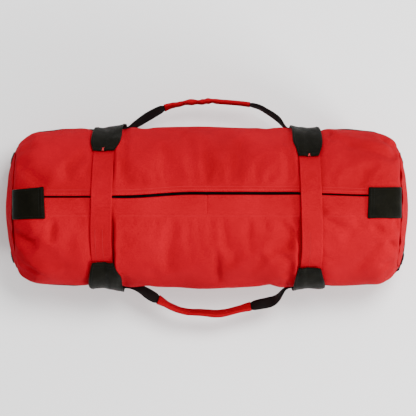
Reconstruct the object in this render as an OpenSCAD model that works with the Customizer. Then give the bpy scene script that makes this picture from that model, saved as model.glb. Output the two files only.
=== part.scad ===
// Training sandbag: a zipped canvas barrel bag that holds three sand-filled inner bags.
// X runs along the bag, Y across it, and Z up. The origin is on the ground under its middle.
// Every sewn-on piece is a sheet laid on the bag's skin, so it is described by three numbers:
// x along the bag, the turn t about the X axis (0 rear side, 90 top, 180 front side, -90 ground),
// and the height d above the canvas.

/* [Bag] */
// Length over the two bulging end panels
bag_length = 635; // [610:5:660]
// Width at the widest line
bag_width = 252; // [244:2:260]
// Height of the filled bag
bag_height = 214; // [210:1:220]
// How far each end panel bulges past its seam
end_bulge = 14.5; // [12:0.5:16]
// Thickness of the canvas
canvas = 1.5; // [1.2:0.1:1.6]

/* [Straps and patches] */
// Distance of each girth strap from the middle of the pair
strap_x = 162; // [160:1:168]
// How far the pair of girth straps sits from the bag's middle
strap_shift = -1.5; // [-4:0.5:4]
// Width of the girth straps
strap_w = 32; // [28:1:34]
// Width of the patches over the strap crossings
patch_w = 54; // [50:1:56]
// Width of the side webbing
belt_w = 25; // [22:1:26]
// Thickness of straps, webbing and patches
strap_t = 2; // [1.6:0.1:2]

/* [Handles] */
// Half the length of the curved part of each side handle
handle_x = 129; // [124:1:130]
// Reach of the side handles from their roots
handle_reach = 41.5; // [38:0.5:44]
// How far the side handles droop below level, in degrees
handle_droop = 20; // [15:1:25]
// How far the end handles hang down
end_drop = 46; // [42:1:50]
// Half the length of the grip sleeve
grip_x = 70; // [60:1:76]

/* [Zip] */
// Offset of the zip from the bag's middle line, towards the rear
zip_y = 7; // [5:0.5:9]
// Offset of the slit between the fly's edge and the rear hem
slit_y = 21; // [20:0.5:22]
// Width of that slit
slit_w = 4.5; // [3.5:0.5:5]
// Travel of the slider
zip_travel = 468; // [440:2:470]

/* [Hidden] */

red = "crimson";
black = "#1c1c1a";

gap = 0.3;                             // air between a sewn-on sheet and what it lies on
lift = strap_t + gap;                  // the canvas clears the ground by one strap
half_width = bag_width / 2;
seam_x = bag_length / 2 - end_bulge - canvas - gap;   // plane of the seam round each end panel
mid_z = 102;                           // height of the widest line above the canvas's lowest point
crown = bag_height - mid_z;            // from the widest line up to the top
sag = mid_z + 7;                       // the lower half would reach this deep if the ground didn't flatten it
belly = 2.7;                           // squareness of the lower half; 2 would be an ellipse
bow = 6;                               // the sides draw in this much from the middle to the seams
side_shoulder = 225;                   // where the sides start to round off towards the seams
top_shoulder = 252;                    // where the top does: the zip stays straight up to here
side_drop = 25;
top_drop = 24;
belly_drop = 22;
ring_step = 5;                         // degrees between the lines of a sheet round the bag
pole = 0.04;                           // each end panel's grid starts this far from its middle

// Rounding of an edge that starts at x = from and has fallen by drop at the seam.
function shoulder(x, from, drop) =
    let (u = min(1, max(0, (abs(x) - from) / (seam_x - from)))) drop * (1 - sqrt(1 - u * u));
function side(x) = half_width - bow * pow(x / seam_x, 2) - shoulder(x, side_shoulder, side_drop);
function top(x) = crown - shoulder(x, top_shoulder, top_drop);
function bottom(x) = sag - shoulder(x, side_shoulder, belly_drop);

// The point at height d above the canvas. The lower half is flat where it meets the ground.
function skin(x, t, d) =
    let (c = cos(t), s = sin(t), w = side(x) + d)
    s >= 0
        ? [x, w * c, lift + mid_z + (top(x) + d) * s]
        : [x, w * sign(c) * pow(abs(c), 2 / belly),
           lift + max(-d, mid_z - (bottom(x) + d) * pow(-s, 2 / belly))];

// The turn at which the upper skin is at y.
function turn_at(x, y) = acos(y / side(x));

// A point of an end panel: rho is 0 at its middle and 1 at its seam.
function cap(end, rho, t, d) =
    let (edge = skin(seam_x, t, 0), z = lift + mid_z)
    [end * (seam_x + gap + end_bulge * (1 - rho * rho) + d), edge[1] * rho, z + (edge[2] - z) * rho];

function steps(a, b, step) = let (n = max(1, ceil(abs(b - a) / step))) [for (i = [0:n]) a + (b - a) * i / n];
function mix(a, b, u) = a + (b - a) * u;
// Rises smoothly from 0 at u = 0 to 1 at u = 1.
function ease(u) = let (v = min(1, max(0, u))) v * v * (3 - 2 * v);
function reversed(list) = [for (i = [len(list) - 1:-1:0]) list[i]];
// Stations along the bag from x0 to x1, which all the sheets share. They crowd towards the seams.
end_grid = [for (a = [0:10:90]) side_shoulder + (seam_x - side_shoulder) * sin(a)];
grid = concat(reversed(-end_grid), [-150, -75, 0, 75, 150], end_grid);
function stations(x0, x1) = [x0, each [for (x = grid) if (x > x0 + 0.1 && x < x1 - 0.1) x], x1];

// Closed solid between two grids of points with the same rows. With ring, each row closes on itself.
module between(outer, inner, ring = false) {
    rows = len(outer);
    cols = len(outer[0]);
    k = rows * cols;
    last = ring ? cols - 1 : cols - 2;
    function at(i, j) = i * cols + j % cols;
    function quad(a, b, c, d) = [[a, b, c], [a, c, d]];
    faces = concat(
        [for (i = [0:rows - 2], j = [0:last]) each quad(at(i, j), at(i + 1, j), at(i + 1, j + 1), at(i, j + 1))],
        [for (i = [0:rows - 2], j = [0:last])
            each quad(k + at(i, j), k + at(i, j + 1), k + at(i + 1, j + 1), k + at(i + 1, j))],
        [for (j = [0:last]) each quad(at(0, j), at(0, j + 1), k + at(0, j + 1), k + at(0, j))],
        [for (j = [0:last])
            each quad(at(rows - 1, j + 1), at(rows - 1, j), k + at(rows - 1, j), k + at(rows - 1, j + 1))],
        ring ? [] : [for (i = [0:rows - 2]) each quad(at(i + 1, 0), at(i, 0), k + at(i, 0), k + at(i + 1, 0))],
        ring ? [] : [for (i = [0:rows - 2])
            each quad(at(i, cols - 1), at(i + 1, cols - 1), k + at(i + 1, cols - 1), k + at(i, cols - 1))]
    );
    polyhedron([for (row = outer) each row, for (row = inner) each row], faces, convexity = 6);
}

// Solid through a list of closed rings, with flat ends.
module bar(rings) {
    n = len(rings[0]);
    last = len(rings) - 1;
    sides = [for (i = [0:last - 1], j = [0:n - 1])
        let (a = i * n + j, b = i * n + (j + 1) % n) each [[a, b, b + n], [a, b + n, a + n]]];
    ends = [[for (j = [0:n - 1]) n - 1 - j], [for (j = [0:n - 1]) last * n + j]];
    polyhedron([for (r = rings) each r], concat(sides, ends), convexity = 6);
}

// Sheet on the skin: xs along the bag, ts round it, from d to d + thick above the canvas.
module sheet(xs, ts, d, thick) {
    between([for (x = xs) [for (t = ts) skin(x, t, d + thick)]], [for (x = xs) [for (t = ts) skin(x, t, d)]]);
}

/* ---- canvas shell ---- */

module body_panel() {
    y0 = slit_y + slit_w / 2;    // rear hem beside the slit
    function round_at(x) =
        let (a = turn_at(x, y0), b = turn_at(x, fly_y)) [for (u = steps(0, 1, 1 / 68)) mix(a, b - 360, u)];
    xs = stations(-seam_x, seam_x);
    color(red) between([for (x = xs) [for (t = round_at(x)) skin(x, t, 0)]],
                       [for (x = xs) [for (t = round_at(x)) skin(x, t, -canvas)]]);
}

module end_panel(end) {
    rhos = [pole, 0.25, 0.45, 0.62, 0.76, 0.88, 0.96, 1];
    function ring_at(rho, d) = [for (t = steps(0, 360 - 10, 10)) cap(end, rho, t, d)];
    rings = concat([for (rho = rhos) ring_at(rho, 0)], [for (rho = reversed(rhos)) ring_at(rho, canvas)]);
    color(red) bar(end > 0 ? rings : reversed(rings));
}

// Binding tape over the raw edges, inside the end seam.
module seam_binding(end) {
    xs = end > 0 ? [seam_x - 14, seam_x - 2] : [-seam_x + 2, -seam_x + 14];
    ts = steps(0, 360 - 10, 10);
    color(black) between([for (x = xs) [for (t = ts) skin(x, t, -canvas - 1)]],
                         [for (x = xs) [for (t = ts) skin(x, t, -canvas - 2.4)]], ring = true);
}

/* ---- zip ---- */

zip_d = -11;          // height of the zip below the canvas
chain_w = 2.2;        // each row of teeth
groove = 1.2;         // between the rows, for the slider's post
tape_edge = 16;       // from the zip's middle to the sewn edge of each tape
tape_end = seam_x - 15;

// Lengthwise strip from x0 to x1. Its section follows the path's [y, height above the canvas] pairs.
module strip(path, thick, x0, x1) {
    function line(x, up) = [for (p = path) skin(x, turn_at(x, p[0]), p[1] + up)];
    xs = stations(x0, x1);
    between([for (x = xs) line(x, thick)], [for (x = xs) line(x, 0)]);
}

fly_y = -11;                                       // stitch line along the fly's fixed edge
fly_cuts = [strap_shift - strap_x + strap_w / 2 + 12, strap_shift + strap_x - strap_w / 2 - 12];

module fly(x0, x1) {
    color(red) strip([for (y = steps(slit_y - slit_w / 2, fly_y + gap, 5)) [y, -canvas]], canvas, x0, x1);
}

module zip_tape(front) {
    side_of = front ? -1 : 1;
    under = -canvas - 1.2;
    path = [[zip_y + side_of * (groove / 2 + chain_w + gap), zip_d], [zip_y + side_of * 6.5, zip_d],
            [zip_y + side_of * tape_edge, under], [zip_y + side_of * (tape_edge + 3), under]];
    color(black) strip(front ? path : reversed(path), 0.8, -tape_end, tape_end);
}

module zip_chain(front) {
    side_of = front ? -1 : 1;
    path = [for (y = [groove / 2, groove / 2 + chain_w]) [zip_y + side_of * y, zip_d - 0.6]];
    color(black) strip(front ? path : reversed(path), 2, -tape_end, tape_end);
}

// Frame on the zip: origin in the middle of the chain's top, its own z away from the bag.
module on_zip(x) {
    t = turn_at(0, zip_y);
    p = skin(0, t, zip_d + 1.4);
    translate([x, p[1], p[2]]) rotate([t - 90, 0, 0]) children();
}

slider_l = 15;
slider_w = 10;
plate_t = 1.4;
slider_x = zip_travel / 2;
pull_z = 3.6;         // height of the pull's pivot above the chain
pull_l = 26;

module zip_stops() {
    color("dimgray") for (x = [-1, 1] * (slider_x + slider_l / 2 + 3.5)) on_zip(x)
        translate([-1.5, -3.2, gap]) cube([3, 6.4, 1.8]);
}

module zip_slider() {
    cheek = 1.2;
    color("dimgray") on_zip(slider_x) {
        translate([-slider_l / 2, -slider_w / 2, gap]) cube([slider_l, slider_w, plate_t]);
        translate([-slider_l / 2, -slider_w / 2, -2.4 - plate_t]) cube([slider_l, slider_w, plate_t]);
        // post between the two rows of teeth
        translate([slider_l / 2 - 4, -0.35, -3]) cube([3.5, 0.7, 4]);
        // cheeks that hold the pull's pin
        for (s = [-1, 1]) translate([-3, s * 3.4 - cheek / 2, gap + plate_t - 0.2])
            cube([6, cheek, pull_z - plate_t + 1.1]);
        translate([0, 4, pull_z]) rotate([90, 0, 0]) cylinder(r = 0.7, h = 8, $fn = 32);
    }
}

module zip_pull() {
    color("dimgray") on_zip(slider_x) difference() {
        union() {
            translate([-pull_l + 2, -2.4, pull_z - 0.7]) cube([pull_l - 2, 4.8, 1.4]);
            translate([0, 2.4, pull_z]) rotate([90, 0, 0]) cylinder(r = 1.6, h = 4.8, $fn = 32);
        }
        translate([0, 4, pull_z]) rotate([90, 0, 0]) cylinder(r = 0.75, h = 8, $fn = 32);
    }
}

/* ---- end tabs ---- */

tab_x = 250;
tab_half = 24.5;
module zip_tab(end) {
    xs = end > 0 ? stations(tab_x, seam_x) : stations(-seam_x, -tab_x);
    function across(x, d) = [for (y = steps(zip_y + tab_half, zip_y - tab_half, 7)) skin(x, turn_at(x, y), d)];
    color(black) between([for (x = xs) across(x, gap + strap_t)], [for (x = xs) across(x, gap)]);
}

/* ---- harness: girth straps, side webbing and patches ---- */

patch_top = 45;       // turn of each patch's free upper edge
patch_foot = -30;     // and of its lower edge
sewn = 1.5;           // the strap's parts meet this many degrees from that upper edge
strap_edges = [-strap_w / 2, 0, strap_w / 2];
function strap_at(end) = end * strap_x + strap_shift;

module girth_strap(end) {
    color(red) sheet([for (x = strap_edges) strap_at(end) + x],
                     steps(patch_top - sewn, sewn - patch_top - 180, ring_step), gap, strap_t);
}

// The free part of the strap over the zip, which stands off the bag a little.
module top_strap(end) {
    slack = 2.5;
    ts = steps(patch_top + sewn, 180 - patch_top - sewn, ring_step);
    function off(t) = 2 * gap + slack * sin((t - patch_top) / (180 - 2 * patch_top) * 180);
    function lines(up) = [for (x = strap_edges) [for (t = ts) skin(strap_at(end) + x, t, off(t) + up)]];
    color(red) between(lines(strap_t), lines(0));
}

// On the front side a turn is counted from the front: t becomes 180 - t.
function faced(front, t) = front ? 180 - t : t;

belt_high = -1;       // turns of the webbing's two edges, just under the widest line
belt_low = -10.5;
module belt(end, front) {
    ts = [for (t = steps(belt_high, belt_low, 2)) faced(front, t)];
    start = strap_x - strap_w / 2 - 3;
    // it climbs over the girth strap where they cross
    function over(x) = gap + (strap_t + gap) * ease((strap_w / 2 + 9 - abs(x - strap_x)) / 8);
    along = [for (x = concat(steps(start, strap_x + patch_w / 2, 4), stations(strap_x + 40, seam_x)))
        [x + end * strap_shift * ease((side_shoulder - x) / 20), over(x)]];
    function rows(up) = concat(
        [for (p = along) [for (t = ts) skin(end * p[0], t, p[1] + up)]],
        // round the end seam and on to the end panel, where the end handle is sewn to it
        [[for (t = ts) let (p = skin(seam_x, t, gap + up)) [end * (seam_x + 2 * gap + canvas + up), p[1], p[2]]]],
        [for (rho = [0.95, 0.88]) [for (t = ts) cap(end, rho, t, canvas + gap + up)]]);
    color(black)
        if ((end > 0) != front) between(rows(strap_t), rows(0));
        else between(rows(0), rows(strap_t));
}

// It bridges the handle's root and the webbing, narrows to the strap at its top and leans to the handle.
module patch(end, front) {
    ts = steps(patch_top, patch_foot, ring_step);
    on_strap = strap_t + 2 * gap;
    over_root = root_out + root_half + 3 * gap;
    function half(t) = mix(strap_w / 2, patch_w / 2, ease((patch_top - t) / 22));
    function lean(t) = -end * 4 * ease((patch_top - t) / 50);
    function off(t) = mix(on_strap, over_root, min(ease((patch_top - t) / 28), ease((t - patch_foot) / 15)));
    function lines(up) = [for (t = ts) [for (u = steps(-1, 1, 0.25))
        skin(strap_at(end) + lean(t) + u * half(t), faced(front, t), off(t) + up)]];
    color(black)
        if (front) between(lines(0), lines(strap_t));
        else between(lines(strap_t), lines(0));
}

/* ---- handles ---- */

root_out = 2.8;                            // from the canvas's widest line out to the handle roots' axis
root_half = 2.5;                           // half size of the gathered webbing at the roots
root_x = handle_x + 9;                     // the roots end here, under the patches
axis_z = lift + 84;
axis_y = side(handle_x) + root_out;

function squircle(a, b) = [for (i = [0:11]) let (t = 30 * i + 15)
    [a * sign(cos(t)) * sqrt(abs(cos(t))), b * sign(sin(t)) * sqrt(abs(sin(t)))]];

// Reach of the side handle's centre line at x, and its slope there.
function reach(x) = handle_reach * pow(max(0, 1 - pow(abs(x) / handle_x, 2.6)), 0.95);
function slope(x) = reach(x + 0.5) - reach(x - 0.5);

// One ring of a side handle whose webbing is 2a wide and 2b thick.
function handle_ring(front, x, a, b) =
    let (angle = atan(slope(x)), ring = [for (p = squircle(b, a))
        let (out = reach(x) + p[0] * cos(angle))
        [strap_shift * (1 - ease((root_x - abs(x)) / root_x)) + x - p[0] * sin(angle),
         (front ? -1 : 1) * (axis_y + out * cos(handle_droop) + p[1] * sin(handle_droop)),
         axis_z - out * sin(handle_droop) + p[1] * cos(handle_droop)]])
    front ? reversed(ring) : ring;
function rings(front, xs, a, b) = [for (x = xs) handle_ring(front, x, a, b)];

module handle_webbing(front) {
    half = 9.2;
    xs = concat([-root_x, -root_x + 5], steps(-handle_x, handle_x, 9), [root_x - 5, root_x]);
    color(black) bar([for (x = xs) handle_ring(front, x, min(half, root_half + 0.27 * reach(x)), 1.7)]);
}

module handle_sleeve(front) {
    xs = steps(-grip_x, grip_x, 9);
    color(red) between(rings(front, xs, 9.7, 2.2), rings(front, xs, 10.3, 3.1), ring = true);
}

// Webbing loop that hangs across an end panel. Its root is gathered, so it can swing about it.
function rho_at(y, z) =
    let (dz = z - lift - mid_z, n = dz < 0 ? belly : 2, tall = dz < 0 ? bottom(seam_x) : top(seam_x))
    pow(pow(abs(y) / side(seam_x), n) + pow(abs(dz) / tall, n), 1 / n);
function panel_x(y, z) = seam_x + gap + canvas + end_bulge * (1 - pow(rho_at(y, z), 2));

end_root_y = 80;
end_axis_z = lift + mid_z - 13;
end_axis_x = panel_x(end_root_y, end_axis_z) + 3.2;

module end_handle(end) {
    function section(u) =
        let (y = end_root_y * u, drop = end_drop * pow(1 - pow(abs(u), 2.4), 0.9), z = end_axis_z - drop,
             half = min(belt_w / 2, 2 + drop / 2), x = max(end_axis_x - 1, panel_x(y, z + half) + 0.8))
        [for (p = [[0, -1], [1, -1], [1, 1], [0, 1]]) [end * (x + p[0] * strap_t), y, z + p[1] * half]];
    us = [-1, -0.98, -0.95, -0.91, -0.86, -0.78, -0.68, -0.55, -0.4, -0.2, 0];
    rings = [for (u = concat(us, reversed([for (i = [0:len(us) - 2]) -us[i]]))) section(u)];
    color(black) bar(end > 0 ? [for (r = rings) reversed(r)] : rings);
}

/* ---- inner bags ---- */

fill_len = 196;
fill_round = 26;

// An inner bag stays this far under the canvas: it lies on the bottom and leaves room for the zip.
function fill_under(t) = canvas + 0.7 + 15 * ease(sin(t));

// Solid in the shape of an inner bag, or of what is inside it at the given depth. n counts the bags along X.
module filler(n, deep) {
    us = [-1, -0.97, -0.9, -0.75, -0.4, 0, 0.4, 0.75, 0.9, 0.97, 1];
    bar([for (u = us) reversed([for (t = steps(0, 360 - 15, 15))
        skin(n * (fill_len + 3) + u * (fill_len / 2 - deep), t,
             -fill_under(t) - deep - fill_round * (1 - sqrt(1 - pow(u, 4))))])]);
}

module filler_bag(n) {
    color("dimgray") difference() {
        filler(n, 0);
        filler(n, 1.2);
    }
}

module sand(n) { color("tan") filler(n, 1.8); }

// Rolled hook-and-loop closure, on the front shoulder of each inner bag.
module closure(n) {
    ts = steps(112, 132, ring_step);
    function lines(up) = [for (i = [-55, 0, 55])
        [for (t = ts) skin(n * (fill_len + 3) + i, t, -fill_under(t) + up)]];
    color("dimgray") between(lines(5), lines(0.6));
}

body_panel();
end_panel(-1);  // left_end_panel
end_panel(1);  // right_end_panel
seam_binding(-1);  // left_seam_binding
seam_binding(1);  // right_seam_binding
fly(-seam_x, fly_cuts[0]);  // left_fly
fly(fly_cuts[0] + gap, fly_cuts[1] - gap);  // middle_fly
fly(fly_cuts[1], seam_x);  // right_fly
zip_tape(true);  // front_zip_tape
zip_tape(false);  // rear_zip_tape
zip_chain(true);  // front_zip_chain
zip_chain(false);  // rear_zip_chain
zip_stops();
zip_slider();
zip_pull();
zip_tab(-1);  // left_zip_tab
zip_tab(1);  // right_zip_tab
girth_strap(-1);  // left_girth_strap
girth_strap(1);  // right_girth_strap
top_strap(-1);  // left_top_strap
top_strap(1);  // right_top_strap
patch(-1, true);  // left_front_patch
patch(1, true);  // right_front_patch
patch(-1, false);  // left_rear_patch
patch(1, false);  // right_rear_patch
belt(-1, true);  // left_front_belt
belt(1, true);  // right_front_belt
belt(-1, false);  // left_rear_belt
belt(1, false);  // right_rear_belt
handle_webbing(true);  // front_handle_webbing
handle_webbing(false);  // rear_handle_webbing
handle_sleeve(true);  // front_handle_sleeve
handle_sleeve(false);  // rear_handle_sleeve
end_handle(-1);  // left_end_handle
end_handle(1);  // right_end_handle
filler_bag(-1);  // left_filler_bag
filler_bag(0);  // middle_filler_bag
filler_bag(1);  // right_filler_bag
closure(-1);  // left_closure
closure(0);  // middle_closure
closure(1);  // right_closure
sand(-1);  // left_sand
sand(0);  // middle_sand
sand(1);  // right_sand
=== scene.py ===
"""Looks of the barrel-shaped training sandbag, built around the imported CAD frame.

Lengths are in millimetres until a mesh is made. A place on the bag is (x, t, d): x along the bag,
t the turn about the X axis in degrees (0 rear side, 90 top, 180 front side, 270 ground) and d the
height above the canvas.
"""

import bmesh
import bpy
import numpy as np
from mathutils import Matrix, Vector
from mathutils.bvhtree import BVHTree


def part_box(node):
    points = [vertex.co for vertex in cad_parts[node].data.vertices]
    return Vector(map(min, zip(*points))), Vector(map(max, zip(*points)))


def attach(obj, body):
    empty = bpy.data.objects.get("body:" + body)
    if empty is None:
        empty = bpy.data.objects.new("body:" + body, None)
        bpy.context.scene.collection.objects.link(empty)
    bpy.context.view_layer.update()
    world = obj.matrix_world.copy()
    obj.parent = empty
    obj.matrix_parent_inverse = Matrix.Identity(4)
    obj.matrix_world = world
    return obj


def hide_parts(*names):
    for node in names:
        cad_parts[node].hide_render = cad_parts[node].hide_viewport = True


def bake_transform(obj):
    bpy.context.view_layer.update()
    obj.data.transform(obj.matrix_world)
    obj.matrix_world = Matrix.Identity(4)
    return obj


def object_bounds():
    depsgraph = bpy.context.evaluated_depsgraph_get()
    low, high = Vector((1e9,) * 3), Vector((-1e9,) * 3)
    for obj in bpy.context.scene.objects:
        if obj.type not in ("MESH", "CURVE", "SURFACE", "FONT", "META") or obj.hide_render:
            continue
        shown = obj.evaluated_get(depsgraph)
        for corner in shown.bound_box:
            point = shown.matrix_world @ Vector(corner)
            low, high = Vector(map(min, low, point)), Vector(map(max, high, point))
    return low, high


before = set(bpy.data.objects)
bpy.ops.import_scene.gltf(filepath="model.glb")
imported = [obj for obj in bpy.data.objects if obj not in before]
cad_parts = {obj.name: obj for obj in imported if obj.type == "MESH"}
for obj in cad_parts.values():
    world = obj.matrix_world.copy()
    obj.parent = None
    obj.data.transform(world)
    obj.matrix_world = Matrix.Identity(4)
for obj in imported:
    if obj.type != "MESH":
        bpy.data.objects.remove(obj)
cad_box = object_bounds()

MM = 0.001
END_NAME = {-1: "left", 1: "right"}
FACE_NAME = {False: "rear", True: "front"}


# ---- the bag's form, as the CAD has it ----

def corner_mm(node):
    """A CAD node's lowest and highest corners in millimetres."""
    low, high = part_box(node)
    return np.array(low) / MM, np.array(high) / MM


panel_low, panel_high = corner_mm("body_panel")
SEAM_X = float(panel_high[0])              # plane of the seam round each end panel
HALF_WIDTH = float(panel_high[1])
LIFT = float(panel_low[2])                 # the canvas clears the ground by one strap
END_X = float(cad_box[1][0]) / MM          # tip of each end panel
MID_Z = 102.0                              # widest line above the canvas's lowest point
CROWN = float(panel_high[2]) - LIFT - MID_Z
SAG = MID_Z + 7                            # depth the lower half would reach on soft ground
BELLY = 2.7                                # squareness of the lower half
BOW = 6.0                                  # the sides draw in this much towards the seams
SIDE_SHOULDER, SIDE_DROP = 225.0, 25.0     # where the form starts to draw in, and by how much at the seam
TOP_SHOULDER, TOP_DROP, BELLY_DROP = 252.0, 24.0, 22.0
STRAP_X = {-1: -163.5, 1: 160.5}           # girth straps
STRAP_W = 32.0
FLY_Y = -10.0                              # stitch line along the fly's fixed edge
ZIP_Y = 7.0                                # middle of the zip, under the fly
AXIS_Z = LIFT + 84                         # roots of the side handles
ROOT_X = 129.0                             # where the side handles are sewn on
AXIS_Y = HALF_WIDTH - BOW * (ROOT_X / SEAM_X) ** 2 + 2.8
DROOP = 20.0                               # how far the side handles hang below level, in degrees


def ease(u):
    """Smooth step from 0 to 1 as u goes from 0 to 1."""
    v = np.clip(u, 0, 1)
    return v * v * (3 - 2 * v)


def mix(a, b, u):
    """From a to b as u goes from 0 to 1."""
    return a + (b - a) * u


def shoulder(x, start, drop):
    """How far the form has drawn in at x: a quarter of an ellipse from start to the seam."""
    u = np.clip((np.abs(x) - start) / (SEAM_X - start), 0, 1)
    return drop * (1 - np.sqrt(1 - u * u))


def side(x):
    """Half the bag's width at x."""
    return HALF_WIDTH - BOW * (x / SEAM_X) ** 2 - shoulder(x, SIDE_SHOULDER, SIDE_DROP)


def turn_at(x, y):
    """The turn at which the upper skin is at y."""
    return np.degrees(np.arccos(np.clip(y / side(x), -1, 1)))


def near_turn(t, centre, width):
    """1 at a turn, fading to 0 over the width on both sides."""
    return np.exp(-(((t - centre + 180) % 360 - 180) / width) ** 2)


def lean(x, t):
    """The end seams aren't quite flat: their corners push outwards."""
    right = 6.5 * near_turn(t, 205, 26) + 3.0 * near_turn(t, 38, 16)
    left = 1.5 * near_turn(t, 200, 24) + 1.0 * near_turn(t, 30, 20)
    return np.where(x > 0, right, -left) * ease((np.abs(x) - 225) / (SEAM_X - 225))


def skin(x, t, d):
    """Points of the CAD form, with the seams' corners pushed out and the canvas down on the ground."""
    x, t, d = np.broadcast_arrays(np.asarray(x, float), np.asarray(t, float), np.asarray(d, float))
    c, s = np.cos(np.radians(t)), np.sin(np.radians(t))
    w = side(x) + d
    top = CROWN - shoulder(x, TOP_SHOULDER, TOP_DROP)
    bottom = SAG - shoulder(x, SIDE_SHOULDER, BELLY_DROP)
    near = np.min([np.abs(x - STRAP_X[e]) for e in (-1, 1)], axis=0)
    lift = mix(LIFT, 0.5, ease((near - STRAP_W / 2 - 2) / 25))
    low = np.maximum(0, -s)
    upper = np.stack([w * c, LIFT + MID_Z + (top + d) * np.maximum(0, s)], -1)
    lower_z = LIFT + MID_Z - (bottom + d) * low ** (2 / BELLY)
    floor_z = lift - d
    lower = np.stack([w * np.sign(c) * np.abs(c) ** (2 / BELLY), np.maximum(lower_z, floor_z)], -1)
    yz = np.where((s >= 0)[..., None], upper, lower)
    return np.concatenate([(x + lean(x, t))[..., None], yz], -1)


# ---- relief: soft swells, dents and creases of the canvas ----

def ripples(x, t, waves, length, seed):
    """Smooth noise from -1 to 1 that closes round the bag."""
    r = np.random.default_rng(seed)
    total = np.zeros(np.broadcast(x, t).shape)
    for _ in range(waves):
        around = r.integers(1, max(2, int(2 * np.pi * HALF_WIDTH / length)))
        along = r.uniform(-1, 1) * 2 * np.pi / length
        total = total + np.sin(along * x + np.radians(t) * around + r.uniform(0, 2 * np.pi))
    return total / np.sqrt(waves * 2)


def valley(x, y, a, b, width):
    """1 on the line from a to b in plan, fading to 0 over the width on both sides and past its ends."""
    a, b = np.array(a, float), np.array(b, float)
    line = b - a
    u = np.clip(((x - a[0]) * line[0] + (y - a[1]) * line[1]) / (line @ line), 0, 1)
    away = np.hypot(x - a[0] - u * line[0], y - a[1] - u * line[1])
    return np.exp(-(away / width) ** 2)


# Where each run of side webbing shows from above, (distance from the bag's middle, half length), by its
# end of the bag and whether it is on the front side.
BELT_SHOWS = {(-1, False): (251, 13), (1, False): (228, 30), (-1, True): (213, 26), (1, True): (302, 10)}
HANDLE_ARM_X = 96.0                        # where the arms of the carrying handles swing past the sides


# Dents (-) and swells (+) of the upper half: (height, from (x, y), to (x, y), width).
FOLDS = (
    # beside the tabs and at the corners
    (-8.1, (-286, 66), (-262, 44), 11),
    (-6.8, (-304, -40), (-274, -58), 9),
    (-4.6, (-239, -32), (-243, -46), 6),
    (3.2, (-268, -34), (-232, -60), 13),
    (2.7, (-290, -88), (-235, -98), 7),
    (-7.0, (232, -24), (264, -34), 7),
    (4.6, (190, -8), (252, -30), 6),
    (-3.5, (186, -24), (222, -36), 7),
    (-3.2, (236, -92), (262, -60), 8),
    (-2.4, (100, -60), (138, -48), 7),
    (2.2, (96, -80), (138, -66), 7),
    (-2.7, (-216, 60), (-196, 84), 9),
    (-6.8, (284, -58), (299, -72), 7),
    (-6.8, (294, -22), (300, -46), 4),
    (4.3, (200, 116), (282, 92), 5),
    (-5.7, (226, 98), (286, 82), 9),
    (-4.6, (290, 96), (293, 88), 6),
    (4.1, (288, 103), (294, 101), 6),
    # shallow creases on the front half
    (-1.2, (15, -68), (16, -112), 2.4),
    (-0.9, (-6, -69), (15, -69), 2.4),
    (1.9, (24, -100), (90, -60), 14),
    (-2.4, (134, -18), (147, -26), 5),
    (-1.6, (-60, 78), (40, 64), 16),
)


def relief(x, t):
    """Height of the canvas's soft form over the CAD's."""
    s = np.sin(np.radians(t))
    y = side(x) * np.cos(np.radians(t))
    up = ease(s * 4)
    d = 1.2 * ripples(x, t, 14, 190, 3) + 0.7 * ripples(x, t, 18, 70, 5)
    # gathers at the end seams
    d += ease((np.abs(x) - 262) / 38) * (1.1 * ripples(x * 0.4, t, 16, 26, 8) - 0.4)
    for height, start, stop, width in FOLDS:
        d += up * height * valley(x, y, start, stop, width)
    # stitched lines beside the slit sink in
    for line_y, depth in ((FLY_Y - 3, 0.35), (28, 0.45), (33, 0.45)):
        d -= up * depth * np.exp(-((y - line_y) / 1.8) ** 2)
    # the straps press in, and the canvas swells up against their inner edges
    for e in (-1, 1):
        inner_edge = STRAP_X[e] - e * (STRAP_W / 2 + 0.6)
        past = (x - inner_edge) * -e
        below_zip = ease((-9 - y) / 32) + 0.5 * ease((y - 38) / 26)
        d -= 2.6 * np.exp(-(((x - STRAP_X[e]) / 17.5) ** 6)) * ease((s + 0.6) * 1.6)
        d -= 1.0 * np.exp(-((x - STRAP_X[e]) / 34) ** 2) * ease((s + 0.9) * 1.5)
        d -= up * 4.4 * below_zip * np.exp(-(past / 1.5) ** 2)
        d += up * 1.6 * below_zip * np.exp(-((past - 7) / 4.5) ** 2)
    # the side webbing presses in, and the canvas swells over it where it is out of sight from above
    for (e, front), (at, reach) in BELT_SHOWS.items():
        hidden = 1 - np.exp(-((x * e - at) / (reach * 1.25)) ** 4)
        here = (x * e > 0) * (np.cos(np.radians(t)) * (-1 if front else 1) > 0) * ease((np.abs(x) - 178) / 10)
        edge = 178 if front else 2
        down = 192 if front else -12
        d += here * (2.0 * hidden * near_turn(t, edge, 9) - 1.4 * near_turn(t, down, 8))
    # fuller and slacker stretches of the sides
    d += 1.6 * near_turn(t, 5, 22) * np.exp(-((x + 35) / 80) ** 4)
    d += 1.0 * near_turn(t, 175, 20) * np.exp(-((x + 55) / 60) ** 4)
    d -= 0.8 * near_turn(t, 175, 20) * np.exp(-((x - 60) / 55) ** 4)
    d += 6.0 * near_turn(t, 192, 24) * ease((x - 252) / 38)
    # room for the carrying handles where they swing against the sides
    for side_t, below in ((0, -17), (180, 197)):
        arms = np.exp(-((np.abs(x) - HANDLE_ARM_X) / 12) ** 2)
        d -= arms * (1.4 * near_turn(t, side_t, 14) + 3.0 * near_turn(t, below, 11))
        for turned in (-22, 20):
            d -= 1.0 * ease((100 - np.abs(x)) / 16) * near_turn(t, side_t + turned, 9)
    # it stays full beside the zip, and rests on the ground
    zipped = up * np.exp(-((y - 12) / 17) ** 4)
    d = mix(d, np.maximum(d, -0.8), zipped * (np.abs(x) < 245))
    return d * ease((s + 0.97) * 6)


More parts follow.
